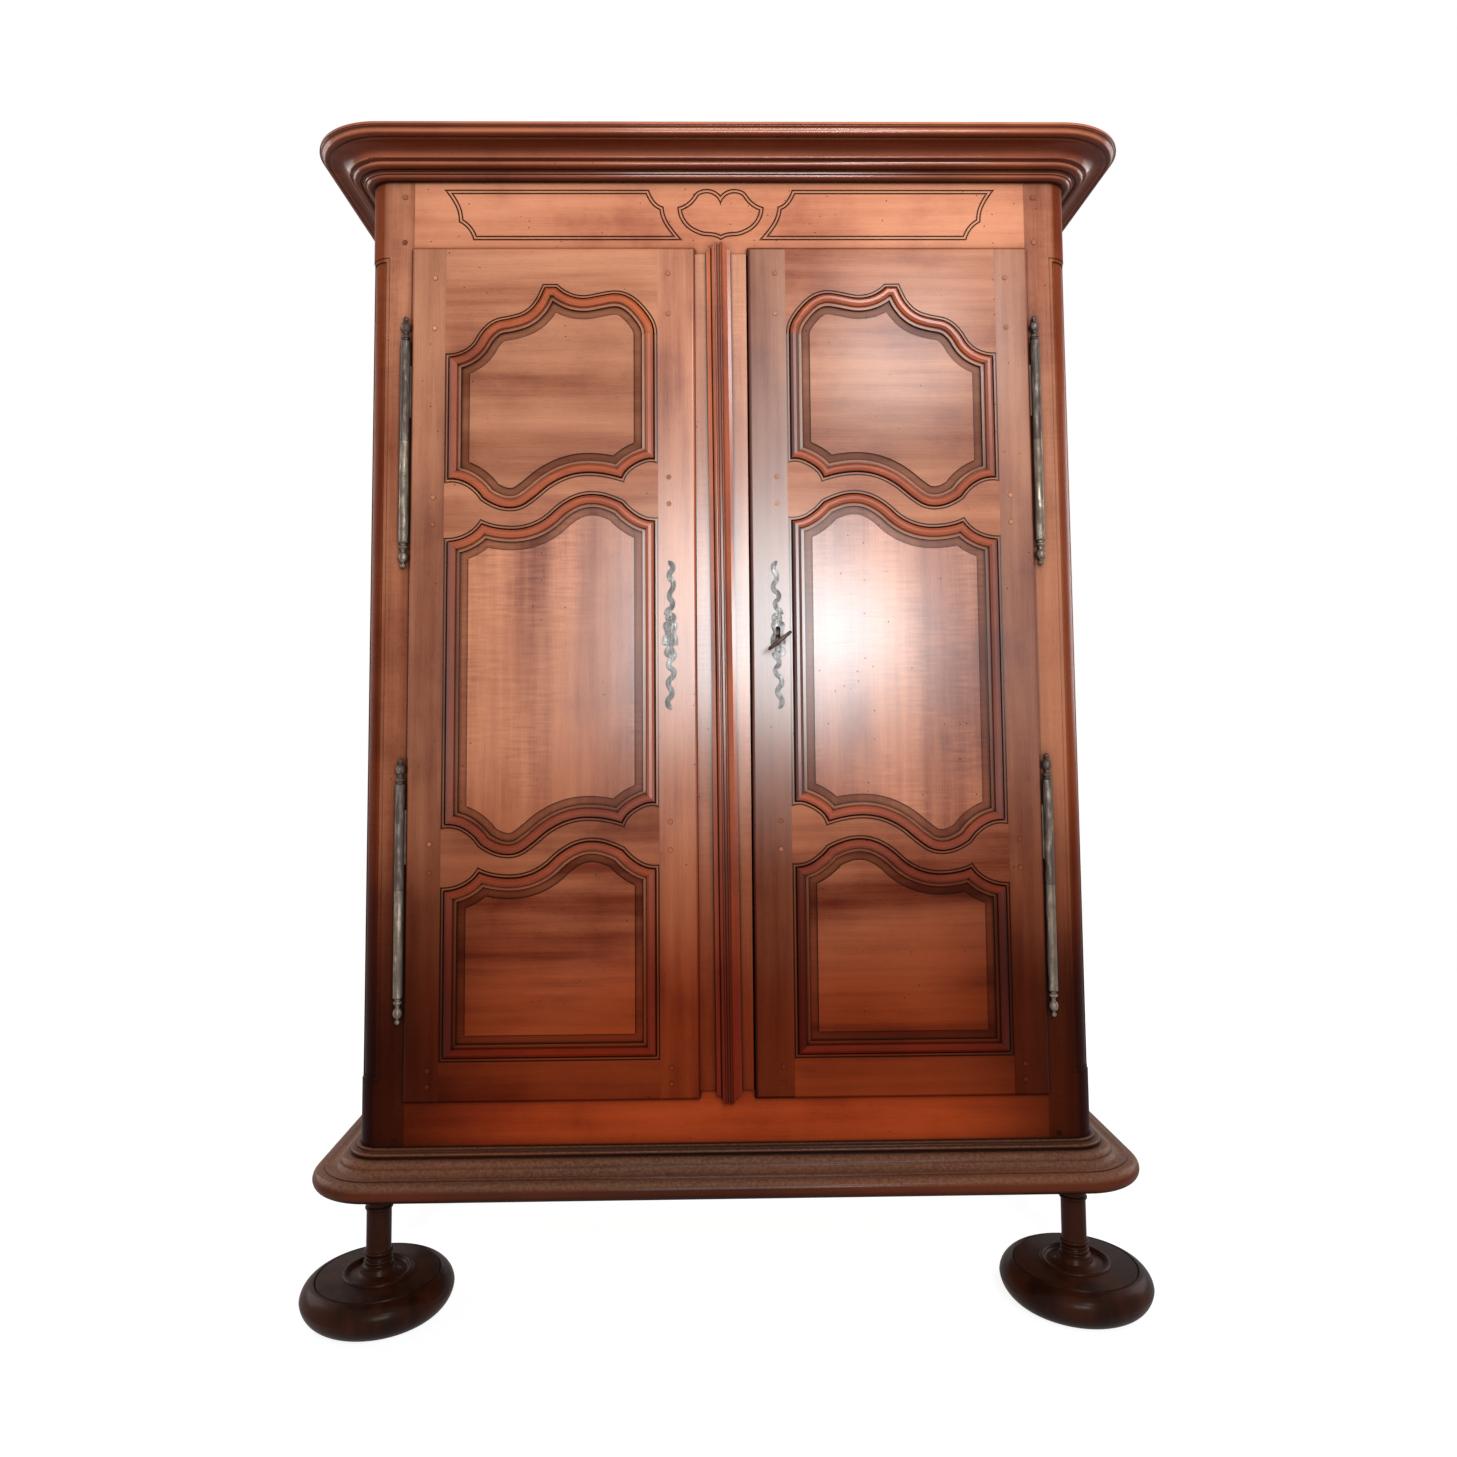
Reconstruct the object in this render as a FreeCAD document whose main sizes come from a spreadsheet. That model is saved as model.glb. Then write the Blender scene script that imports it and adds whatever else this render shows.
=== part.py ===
import FreeCAD, Part
import math
import os
import Sketcher
from FreeCAD import Vector

# A walnut wardrobe with two panelled doors, a moulded cornice and base, and turned feet.
# Lengths are millimetres. X runs to the right, Y to the back and Z up from the floor.
# The front face of the carcass frame lies at the sheet's front_place, so that the
# origin is at the middle of the bottom of the whole piece.

doc = FreeCAD.newDocument("wardrobe")

DIMENSIONS = [
    # Carcass
    ("body_width", 1500, "outer width over the corner stiles"),
    ("body_depth", 600, "front face of the stiles to the back"),
    ("carcass_bottom", 264, "floor to the underside of the base"),
    ("carcass_top", 2400, "floor to the top ends of the stiles"),
    ("corner_radius", 45, "rounding of the front corners"),
    ("stile_width", 107, "front stile, from the side to the door opening"),
    ("stile_depth", 85, "front stile, front to back"),
    ("shoulder_inset", 11, "rail shoulder, outside the edge of the door opening"),
    ("rail_thickness", 32, "front rails, front to back"),
    ("opening_bottom", 445, "floor to the lower edge of the door opening"),
    ("frieze_height", 210, "top of the stiles to the door opening"),
    ("opening_top", "=carcass_top - frieze_height", "floor to the upper edge of the door opening"),
    ("tenon_length", 55, "tenons of the carcass rails"),
    ("tenon_thickness", 11, "tenons of the carcass rails"),
    ("tenon_shoulder", 14, "step from the rail's edge to its tenon"),
    ("peg_radius", 5, "oak pegs of the carcass joints"),
    ("peg_inset", 20, "pegs, beyond the shoulder of the rail"),
    ("peg_proud", 1, "how far a peg stands out of the face"),
    ("flute_rise", 33, "lower end of the flute, above the door opening's edge"),
    ("flute_bottom", "=opening_bottom + flute_rise", "lower end of the sunk flute on the corner"),
    ("flute_drop", 14, "upper end of the flute, below the door opening's edge"),
    ("flute_top", "=opening_top - flute_drop", "upper end of the sunk flute on the corner"),
    ("flute_inset", 8, "flute edge, inside the start of the rounded corner"),
    ("flute_depth", 4, "depth of the sunk flute"),
    ("flute_border", 8, "width of the bead round the flute"),
    ("flute_border_height", 1.6, "step of the bead round the flute"),
    # Sides, back and inner boards
    ("carving_width", 10, "carved bead with the grooves beside it"),
    ("carving_depth", 2.4, "grooves of the carving"),
    ("side_rail_thickness", 28, "rails of the side frames"),
    ("side_tenon_length", 30, "tenons of the side and back rails"),
    ("side_top_rail_height", 170, "upper rail of the side"),
    ("side_middle_rail_height", 120, "middle rail of the side"),
    ("side_bottom_rail_height", 190, "lower rail of the side"),
    ("side_middle_rail_level", 1250, "floor to the underside of the middle rail"),
    ("side_panel_thickness", 13, "flat of the side panels"),
    ("side_field_rise", 4, "raised field of the side panels"),
    ("side_field_margin", 45, "edge of the side panel to its raised field"),
    ("groove_depth", 9, "how deep panels and boards sit in their grooves"),
    ("rear_stile_width", 70, "rear post, side to side"),
    ("rear_stile_depth", 45, "rear post, front to back"),
    ("back_rail_thickness", 28, "rails of the back frame"),
    ("back_rail_height", 150, "rails of the back frame"),
    ("back_board_thickness", 14, "upright boards of the back"),
    ("back_board_gap", 1, "shrinkage gap between the back boards"),
    ("floor_thickness", 20, "inner floor"),
    ("floor_drop", 4, "inner floor, below the door opening"),
    ("ceiling_thickness", 16, "inner ceiling"),
    ("ceiling_drop", 30, "inner ceiling, below the top of the stiles"),
    ("shelf_thickness", 22, "shelves"),
    ("shelf_low_level", 1010, "floor to the underside of the lower shelf"),
    ("shelf_high_level", 1590, "floor to the underside of the upper shelf"),
    ("cleat_width", 24, "cleats under the shelves, side to side"),
    ("cleat_height", 34, "cleats under the shelves"),
    ("board_clearance", 1, "play of loose boards in the carcass"),
    # Cornice and base
    ("cornice_lap", 50, "how far the cornice reaches down over the stiles"),
    ("cornice_bottom", "=carcass_top - cornice_lap", "floor to the lowest bead of the cornice"),
    ("cornice_height", 68, "height of the cornice moulding"),
    ("cornice_reach", 115, "how far the cornice stands out of the face"),
    ("cornice_seat", 24, "width of the cornice that lies on the stiles"),
    ("base_height", 77, "height of the base moulding"),
    ("base_reach", 94, "how far the base stands out of the face"),
    # Feet
    ("foot_inset", 33, "foot centre, in from the side of the body"),
    ("foot_setback", 56, "foot centre, behind the front face"),
    ("foot_radius", 152, "widest radius of the bun"),
    ("foot_bun_height", 82, "height of the bun's rim"),
    ("foot_stem_radius", 25, "shaft above the bun"),
    ("foot_neck_height", 88, "floor to the foot of the shaft"),
    # Doors
    ("door_lap", 12, "lip over the stile and over the frieze"),
    ("door_low_lap", 15, "lip over the bottom rail"),
    ("door_meeting", 56, "middle of the front to the free edge of a door"),
    ("door_edge", "=body_width / 2 - stile_width + door_lap", "middle to the hinged edge of a door"),
    ("door_width", "=door_edge - door_meeting", "door over its lips"),
    ("door_lip_bottom", "=opening_bottom - door_low_lap", "floor to the lower lip of the doors"),
    ("door_lip_top", "=opening_top + door_lap", "floor to the upper lip of the doors"),
    ("lip_thickness", 12, "part of the door in front of the carcass face"),
    ("door_back_thickness", 18, "part of the door inside the opening"),
    ("door_clearance", 2, "play round the part inside the opening"),
    ("lip_round", 7, "rounded front edge of the lips"),
    ("hinge_stile_face", 72, "flat face of the hinge stile"),
    ("lock_stile_face", 80, "flat face of the lock stile"),
    (
        "panel_opening_width",
        "=door_width - hinge_stile_face - lock_stile_face",
        "outer width of the panel mouldings",
    ),
    ("top_rail_height", 231, "door's upper edge to the hinge corner below it"),
    ("upper_panel_height", 279, "upper panel moulding at the hinge stile"),
    ("upper_rail_height", 114, "upper middle rail at the hinge stile"),
    ("lower_rail_height", 116, "lower middle rail at the hinge stile"),
    ("bottom_rail_height", 80, "door's lower edge to the lower panel moulding"),
    ("upper_panel_top", "=door_lip_top - top_rail_height", "floor to the upper hinge corner, upper panel"),
    ("upper_panel_bottom", "=upper_panel_top - upper_panel_height", "floor to its lower hinge corner"),
    ("middle_panel_bottom", 975, "floor to the lower hinge corner, middle panel"),
    ("middle_panel_top", "=upper_panel_bottom - upper_rail_height", "floor to its upper hinge corner"),
    ("lower_panel_bottom", "=door_lip_bottom + bottom_rail_height", "floor to the lower edge, lower panel"),
    ("lower_panel_top", "=middle_panel_bottom - lower_rail_height", "floor to its upper hinge corner"),
    ("moulding_width", 33, "panel moulding, outer edge to panel"),
    ("moulding_rise", 7, "top of the moulding's round above the door face"),
    ("panel_sink", 8, "panel margin, behind the door face"),
    ("panel_thickness", 12, "thickness of the panel margin"),
    ("panel_margin", 18, "sunk margin round the raised field"),
    ("panel_field_rise", 3, "raised field above its margin"),
    ("panel_play", 0.3, "play of the panels in their grooves"),
    ("door_tenon_thickness", 9, "tenons of the door rails"),
    ("door_tenon_length", 45, "tenons of the door rails"),
    ("door_tenon_shoulder", 14, "step from the rail's edge to its tenon"),
    ("door_peg_radius", 4.5, "pegs of the door joints"),
    # Cover strip and pilaster on the left door
    ("strip_edge", 53, "middle of the front to the free edge of the strip"),
    ("strip_recess", 5, "strip face, behind the door face"),
    ("strip_play", 2, "strip ends, short of the door opening"),
    ("pilaster_width", 51, "moulded pilaster on the strip"),
    ("pilaster_rise", 16, "pilaster in front of the strip"),
    ("pilaster_over", 7, "upper tip of the pilaster, above the doors"),
    ("pilaster_under", 6, "lower tip of the pilaster, below the doors"),
    ("pilaster_top", "=door_lip_top + pilaster_over", "floor to the upper tip of the pilaster"),
    ("pilaster_bottom", "=door_lip_bottom - pilaster_under", "floor to the lower tip of the pilaster"),
    ("pilaster_cap", 20, "length of the pilaster's shaped ends"),
    ("pilaster_lean", 10, "pilaster foot, further right than its top"),
    # Hinges
    ("hinge_axis_out", 12, "hinge axis, outside the door's edge"),
    ("hinge_radius", 9.5, "barrel of the hinges"),
    ("hinge_half_length", 214, "half of the barrel"),
    ("hinge_finial", 54, "turned end of the barrel"),
    ("hinge_drop", 419, "door's upper edge to the parting line of the upper hinges"),
    ("hinge_rise", 423, "door's lower edge to the parting line of the lower hinges"),
    ("hinge_upper_level", "=door_lip_top - hinge_drop", "floor to the parting line of the upper hinges"),
    ("hinge_lower_level", "=door_lip_bottom + hinge_rise", "floor to the parting line of the lower hinges"),
    ("hinge_face_gap", 0.4, "barrel, in front of the carcass face"),
    ("hinge_pin_radius", 4.5, "pin inside the barrel"),
    ("hinge_pin_length", 60, "pin above the parting line"),
    ("running_clearance", 0.08, "play of a pin in its bore, on the radius"),
    ("hinge_parting_gap", 0.4, "gap between the two halves"),
    ("leaf_thickness", 3, "leaves let into the wood"),
    ("leaf_length", 110, "leaves let into the wood"),
    ("leaf_reach", 28, "leaves let into the wood"),
    # Lock, key and bolts
    ("lock_level", 1355, "floor to the axis of the key"),
    ("lock_axis", 112, "middle of the front to the keyhole"),
    ("lock_case_width", 92, "case, side to side"),
    ("lock_case_height", 120, "case height"),
    ("lock_case_depth", 22, "case, front to back"),
    ("lock_case_inset", 12, "case, in from the free edge of the door"),
    ("lock_case_drop", 45, "case, below the key's axis"),
    ("lock_wall", 2.5, "sheet of the case"),
    ("lock_bolt_length", 64, "bolt length"),
    ("lock_bolt_lift", 4, "bolt, above the sweep of the key's bit"),
    ("lock_bolt_proud", 6, "bolt, out of the case at rest"),
    ("keeper_wall", 3, "rim of the keeper"),
    ("keeper_length", 22, "keeper, side to side"),
    ("lock_bolt_height", 26, "bolt height"),
    ("lock_bolt_thickness", 9, "bolt thickness"),
    ("lock_bolt_throw", 22, "travel of the bolt"),
    ("lock_bolt_play", 0.6, "play round the bolt"),
    ("keyhole_height", 29, "centres of the keyhole's round ends"),
    ("key_shaft_radius", 4, "shaft of the key"),
    ("key_bow_length", 60, "bow of the key, tip to tip"),
    ("key_bow_width", 36, "bow of the key, across"),
    ("key_bow_thickness", 7, "bow of the key"),
    ("key_reach", 52, "bow's middle, in front of the door face"),
    ("key_bit_length", 15, "bit of the key, from the axis"),
    ("key_bit_width", 12, "bit of the key, along the axis"),
    ("key_bit_thickness", 3, "bit of the key"),
    ("key_hole_play", 0.6, "play of the key in the door"),
    ("key_rest_angle", 38, "bow of the key at rest, degrees above level"),
    ("escutcheon_thickness", 1.6, "iron plates on the doors"),
    ("escutcheon_width", 28, "iron plates on the doors"),
    ("escutcheon_level", 1372, "floor to the middle of the iron plates"),
    ("escutcheon_height", 310, "iron plates on the doors"),
    ("bolt_width", 14, "upright bolts inside the left door"),
    ("bolt_thickness", 7, "upright bolts inside the left door"),
    ("bolt_length", 190, "upright bolts inside the left door"),
    ("bolt_throw", 22, "travel of the upright bolts"),
    ("bolt_play", 0.6, "play round the upright bolts"),
    ("bolt_rest_gap", 4, "upright bolts at rest, short of the rails"),
    ("bolt_axis", 96, "middle of the front to the upright bolts"),
    ("staple_width", 12, "straps that hold the upright bolts"),
    ("staple_thickness", 3, "straps that hold the upright bolts"),
    ("overrun", 5, "how far cutting shapes pass the wood"),
]

sheet = doc.addObject("Spreadsheet::Sheet", "sizes")
for row, (alias, value, note) in enumerate(DIMENSIONS, start=1):
    sheet.set(f"A{row}", alias.replace("_", " "))
    sheet.set(f"B{row}", str(value))
    sheet.set(f"C{row}", note)
    sheet.setAlias(f"B{row}", alias)
doc.recompute()


class Size:
    """A length with its value and the sheet expression that gives it."""

    def __init__(self, value, text):
        self.value = float(value)
        self.text = text

    def __float__(self):
        return self.value

    def __add__(self, other):
        other = as_size(other)
        return Size(self.value + other.value, f"({self.text} + {other.text})")

    def __sub__(self, other):
        other = as_size(other)
        return Size(self.value - other.value, f"({self.text} - {other.text})")

    def __rsub__(self, other):
        return as_size(other) - self

    def __mul__(self, factor):
        factor = as_size(factor)
        return Size(self.value * factor.value, f"({self.text} * {factor.text})")

    def __truediv__(self, factor):
        factor = as_size(factor)
        return Size(self.value / factor.value, f"({self.text} / {factor.text})")

    def __neg__(self):
        return Size(-self.value, f"(0 - {self.text})")

    __radd__ = __add__
    __rmul__ = __mul__


def as_size(value):
    """A plain zero or a length as a Size."""
    return value if isinstance(value, Size) else Size(value, str(value))


def size(alias):
    """The sheet's value of that name."""
    return Size(sheet.get(alias), f"sizes.{alias}")


def diagonal(across, along):
    """The length of the slope over two lengths at a right angle."""
    value = math.hypot(float(across), float(along))
    return Size(value, f"sqrt({across.text}^2 + {along.text}^2)")


# Shared building blocks

NODES = []
SKETCH_PLANES = {
    "XY": FreeCAD.Rotation(),
    "XZ": FreeCAD.Rotation(Vector(1, 0, 0), 90),
    "YZ": FreeCAD.Rotation(Vector(1, 1, 1), 120),
}
AXIS_TURNS = {
    "X": FreeCAD.Rotation(Vector(0, 1, 0), 90),
    "Y": FreeCAD.Rotation(Vector(1, 0, 0), -90),
    "Z": FreeCAD.Rotation(),
}


def node(item):
    """Marks an object as a piece of the finished wardrobe."""
    NODES.append(item)
    return item


def bind(item, prop, length):
    """Sets a property and ties it to the sheet."""
    length = as_size(length)
    item.setExpression(prop, length.text)


def place(item, x=0, y=0, z=0, turn=None):
    """Puts an object at a place given by lengths of the sheet."""
    spot = Vector(float(x), float(y), float(z))
    item.Placement = FreeCAD.Placement(spot, turn or item.Placement.Rotation)
    for axis, length in (("x", x), ("y", y), ("z", z)):
        bind(item, f"Placement.Base.{axis}", length)
    return item


def box(name, x, y, z):
    """A box between pairs of lengths along each axis."""
    item = doc.addObject("Part::Box", name)
    for prop, (low, high) in (("Length", x), ("Width", y), ("Height", z)):
        bind(item, prop, as_size(high) - low)
    return place(item, x[0], y[0], z[0])


def cylinder(name, radius, length, x, y, z, axis="Z"):
    """A round bar that starts at a place and runs along an axis."""
    item = doc.addObject("Part::Cylinder", name)
    bind(item, "Radius", radius)
    bind(item, "Height", length)
    return place(item, x, y, z, AXIS_TURNS[axis])


def fuse(name, items):
    """Several objects joined into one."""
    item = doc.addObject("Part::MultiFuse", name)
    item.Shapes = items
    item.Refine = True
    return item


def cut(name, base, tools):
    """An object with others taken away from it."""
    item = doc.addObject("Part::Cut", name)
    item.Base = base
    item.Tool = tools[0] if len(tools) == 1 else fuse(f"{name}_cutters", tools)
    return item


def common(name, items):
    """What several objects have in common."""
    item = doc.addObject("Part::MultiCommon", name)
    item.Shapes = items
    return item


def group(name, items):
    """Separate solids that make up one piece."""
    item = doc.addObject("Part::Compound", name)
    item.Links = items
    return item


def mirrored(name, base):
    """The same piece on the other side of the middle."""
    item = doc.addObject("Part::Mirroring", name)
    item.Source = base
    item.Base = Vector(0, 0, 0)
    item.Normal = Vector(1, 0, 0)
    return item


def arc_middle(start, end, bulge):
    """The middle point of an arc, from its ends and its bulge to the right."""
    middle_u = (start[0] + end[0]) / 2 + (end[1] - start[1]) * (bulge / 2)
    middle_v = (start[1] + end[1]) / 2 - (end[0] - start[0]) * (bulge / 2)
    return middle_u, middle_v


def fix_point(sketch, geometry, position, point):
    """Ties a point of a sketch to two lengths of the sheet."""
    for kind, length in zip(("DistanceX", "DistanceY"), point):
        length = as_size(length)
        rule = Sketcher.Constraint(kind, -1, 1, geometry, position, float(length))
        index = sketch.addConstraint(rule)
        if length.text != "0":
            sketch.setExpression(f"Constraints[{index}]", length.text)


def draw(sketch, rows, closed=True):
    """Draws lines and arcs through rows of (u, v) or (u, v, bulge to the next)."""
    points = [(as_size(row[0]), as_size(row[1])) for row in rows]
    bulges = [row[2] if len(row) > 2 else 0 for row in rows]
    count = len(rows) if closed else len(rows) - 1
    for index in range(count):
        start, end = points[index], points[(index + 1) % len(points)]
        first = Vector(float(start[0]), float(start[1]), 0)
        last = Vector(float(end[0]), float(end[1]), 0)
        if bulges[index]:
            middle = arc_middle(start, end, bulges[index])
            through = Vector(float(middle[0]), float(middle[1]), 0)
            leftwards = float(bulges[index]) > 0
            arc = Part.Arc(first, through, last) if leftwards else Part.Arc(last, through, first)
            geometry = sketch.addGeometry(arc, False)
            ends = (1, 2) if leftwards else (2, 1)
            marker = sketch.addGeometry(Part.Point(through), True)
            fix_point(sketch, marker, 1, middle)
            sketch.addConstraint(Sketcher.Constraint("PointOnObject", marker, 1, geometry))
        else:
            geometry = sketch.addGeometry(Part.LineSegment(first, last), False)
            ends = (1, 2)
        fix_point(sketch, geometry, ends[0], start)
        fix_point(sketch, geometry, ends[1], end)
    return sketch


def outline(name, plane, rows, x=0, y=0, z=0, closed=True):
    """A sketch on its own in one of the main planes."""
    sketch = doc.addObject("Sketcher::SketchObject", name)
    place(sketch, x, y, z, SKETCH_PLANES[plane])
    return draw(sketch, rows, closed)


def body_sketch(body, name, plane, rows):
    """A sketch on one of a body's own planes."""
    sketch = body.newObject("Sketcher::SketchObject", name)
    for feature in body.Origin.OriginFeatures:
        if feature.Role == f"{plane}_Plane":
            sketch.AttachmentSupport = [(feature, "")]
    sketch.MapMode = "FlatFace"
    return draw(sketch, rows)


def turned(name, rows, x, y, z):
    """A turned piece on an upright axis, from rows of (radius, height, bulge)."""
    body = doc.addObject("PartDesign::Body", name)
    sketch = body_sketch(body, f"{name}_outline", "XZ", rows)
    turning = body.newObject("PartDesign::Revolution", f"{name}_turning")
    turning.Profile = sketch
    turning.ReferenceAxis = (sketch, ["V_Axis"])
    turning.Angle = 360
    sketch.Visibility = False
    return place(body, x, y, z)


def padded(name, plane, rows, length, x, y, z):
    """A prism on a sketch, as long as given, along the plane's normal."""
    body = doc.addObject("PartDesign::Body", name)
    sketch = body_sketch(body, f"{name}_section", plane, rows)
    pad = body.newObject("PartDesign::Pad", f"{name}_pad")
    pad.Profile = sketch
    bind(pad, "Length", length)
    return place(body, x, y, z)


# Main levels and planes

HALF_BODY = size("body_width") / 2
FRONT = (size("cornice_reach") - size("body_depth")) / 2
BACK = FRONT + size("body_depth")
BOTTOM = size("carcass_bottom")
TOP = size("carcass_top")
OPENING_EDGE = HALF_BODY - size("stile_width")
SHOULDER = OPENING_EDGE + size("shoulder_inset")
OVERRUN = size("overrun")
SIDES = (("left", -1), ("right", 1))


def span(side, inner, outer):
    """A pair of lengths on one side of the middle, low end first."""
    return (inner, outer) if side > 0 else (-outer, -inner)


def behind(first, last):
    """A pair of depths behind the front face of the carcass."""
    return (FRONT + first, FRONT + last)


# Curved outlines in the plane of the front, as chains of lines and tangent arcs

def number(alias):
    """The plain value of a length of the sheet."""
    return float(size(alias))


def unit(heading):
    """The direction of a heading in degrees."""
    return math.cos(math.radians(heading)), math.sin(math.radians(heading))


class Segment:
    """A line or an arc from a start, along a heading, to an end."""

    def __init__(self, start, heading, end):
        self.start = start
        self.end = end
        self.heading = heading
        along = unit(heading)
        du, dv = end[0] - start[0], end[1] - start[1]
        cross = along[0] * dv - along[1] * du
        chord = math.degrees(math.atan2(dv, du))
        self.straight = abs(cross) < math.hypot(du, dv) / 1000
        turn = 0 if self.straight else 2 * ((chord - heading + 180) % 360 - 180)
        self.end_heading = heading + turn
        if self.straight:
            self.radius = 0
            self.centre = start
        else:
            self.radius = (du * du + dv * dv) / (2 * cross)
            self.centre = (start[0] - along[1] * self.radius, start[1] + along[0] * self.radius)

    def shifted(self, distance):
        """The same segment moved to its right, before its ends are trimmed."""
        moved = Segment.__new__(Segment)
        moved.__dict__.update(self.__dict__)
        for name, heading in (("start", self.heading), ("end", self.end_heading)):
            side = unit(heading - 90)
            point = getattr(self, name)
            setattr(moved, name, (point[0] + side[0] * distance, point[1] + side[1] * distance))
        moved.radius = self.radius + distance if not self.straight else 0
        return moved

    def position(self, point):
        """How far along the segment a point lies, as a share of it."""
        if self.straight:
            along = unit(self.heading)
            length = math.dist(self.start, self.end)
            return ((point[0] - self.start[0]) * along[0] + (point[1] - self.start[1]) * along[1]) / length
        first = math.atan2(self.start[1] - self.centre[1], self.start[0] - self.centre[0])
        here = math.atan2(point[1] - self.centre[1], point[0] - self.centre[0])
        whole = math.radians(self.end_heading - self.heading)
        gone = (here - first) * math.copysign(1, whole)
        middle = abs(whole) / 2
        gone = (gone - middle + math.pi) % (2 * math.pi) - math.pi + middle
        return gone / abs(whole)

    def trimmed(self, start, end):
        """The same curve between two of its points."""
        piece = Segment.__new__(Segment)
        piece.__dict__.update(self.__dict__)
        whole = self.end_heading - self.heading
        piece.heading = self.heading + whole * self.position(start)
        piece.end_heading = self.heading + whole * self.position(end)
        piece.start, piece.end = start, end
        return piece

    def edge(self, depth):
        """The segment as an edge at a depth behind the front."""
        first = Vector(self.start[0], depth, self.start[1])
        last = Vector(self.end[0], depth, self.end[1])
        if self.straight:
            return Part.LineSegment(first, last).toShape()
        side = unit((self.heading + self.end_heading) / 2 - 90)
        across, above = (self.centre[axis] + side[axis] * self.radius for axis in (0, 1))
        through = Vector(across, depth, above)
        return Part.Arc(first, through, last).toShape()


def crossings(one, other):
    """The points where the full curves of two segments cross."""
    if one.straight and other.straight:
        a, b = unit(one.heading), unit(other.heading)
        cross = a[0] * b[1] - a[1] * b[0]
        du, dv = other.start[0] - one.start[0], other.start[1] - one.start[1]
        step = (du * b[1] - dv * b[0]) / cross
        return [(one.start[0] + a[0] * step, one.start[1] + a[1] * step)]
    if other.straight:
        one, other = other, one
    if one.straight:
        along = unit(one.heading)
        du, dv = other.centre[0] - one.start[0], other.centre[1] - one.start[1]
        foot = du * along[0] + dv * along[1]
        away = du * along[1] - dv * along[0]
        half = math.sqrt(max(other.radius ** 2 - away ** 2, 0))
        steps = (foot - half, foot + half)
        return [(one.start[0] + along[0] * step, one.start[1] + along[1] * step) for step in steps]
    du, dv = other.centre[0] - one.centre[0], other.centre[1] - one.centre[1]
    apart = math.hypot(du, dv)
    near = (one.radius ** 2 - other.radius ** 2 + apart ** 2) / (2 * apart)
    half = math.sqrt(max(one.radius ** 2 - near ** 2, 0))
    base = (one.centre[0] + du / apart * near, one.centre[1] + dv / apart * near)
    return [(base[0] - dv / apart * side, base[1] + du / apart * side) for side in (half, -half)]


def joint_of(one, other):
    """The point where one moved segment passes into the next."""
    turn = (other.heading - one.end_heading + 180) % 360 - 180
    if abs(turn) < 1:
        return one.end
    middle = ((one.end[0] + other.start[0]) / 2, (one.end[1] + other.start[1]) / 2)
    return min(crossings(one, other), key=lambda point: math.dist(point, middle))


def offset_loop(segments, distance):
    """A closed outline moved inwards, with sharp corners; used-up segments drop out."""
    moved = [segment.shifted(distance) for segment in segments]
    while True:
        joints = [joint_of(moved[index - 1], moved[index]) for index in range(len(moved))]
        for index, segment in enumerate(moved):
            start, end = joints[index], joints[(index + 1) % len(moved)]
            if segment.position(end) <= segment.position(start):
                del moved[index]
                break
        else:
            break
    ends = joints[1:] + joints[:1]
    return [segment.trimmed(start, end) for segment, start, end in zip(moved, joints, ends)]


def biarc(start, heading, end, end_heading):
    """Two tangent arcs, or one that fits, between two points with a heading at each."""
    whole = Segment(start, heading, end)
    if abs((whole.end_heading - end_heading + 180) % 360 - 180) < 1:
        return [whole]
    first, last = unit(heading), unit(end_heading)
    du, dv = end[0] - start[0], end[1] - start[1]
    both = du * (first[0] + last[0]) + dv * (first[1] + last[1])
    alike = first[0] * last[0] + first[1] * last[1]
    chord = du * du + dv * dv
    if alike > math.cos(math.radians(0.1)):
        reach = chord / (4 * (du * first[0] + dv * first[1]))
    else:
        reach = (math.sqrt(both * both + 2 * (1 - alike) * chord) - both) / (2 * (1 - alike))
    middle = tuple((a + b + reach * (p - q)) / 2 for a, b, p, q in zip(start, end, first, last))
    opening = Segment(start, heading, middle)
    return [opening, Segment(middle, opening.end_heading, end)]


def chain(rows):
    """Tangent arcs through rows of (u, v, heading in, heading out at a corner)."""
    segments = []
    for here, following in zip(rows, rows[1:]):
        segments += biarc(here[:2], here[-1], following[:2], following[2])
    return segments


def closed(segments):
    """A chain closed with straight lines where its ends don't meet."""
    complete = []
    for index, segment in enumerate(segments):
        before = segments[index - 1]
        gap = (segment.start[0] - before.end[0], segment.start[1] - before.end[1])
        if math.hypot(*gap) > math.dist(segment.start, segment.end) / 1000:
            heading = math.degrees(math.atan2(gap[1], gap[0]))
            complete.append(Segment(before.end, heading, segment.start))
        complete.append(segment)
    return complete


def reverse(segments):
    """The same chain walked the other way."""
    return [Segment(s.end, s.end_heading + 180, s.start) for s in reversed(segments)]


def wire_of(segments, depth):
    """A closed wire of a loop at a depth."""
    return Part.Wire([segment.edge(depth) for segment in segments])


def face_of(wires):
    """A flat face with holes from closed wires."""
    return Part.makeFace(Part.makeCompound(wires), "Part::FaceMakerBullseye")


def slab(wires, first, last):
    """A board between two depths from closed wires that lie at the first."""
    return face_of(wires).extrude(Vector(0, last - first, 0))


def feature(name, shape):
    """A piece with a shape of its own."""
    item = doc.addObject("Part::Feature", name)
    item.Shape = shape
    item.Placement = FreeCAD.Placement()
    return item


# The panel openings of a door, in shares of the panel opening's width from its hinge corner

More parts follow.
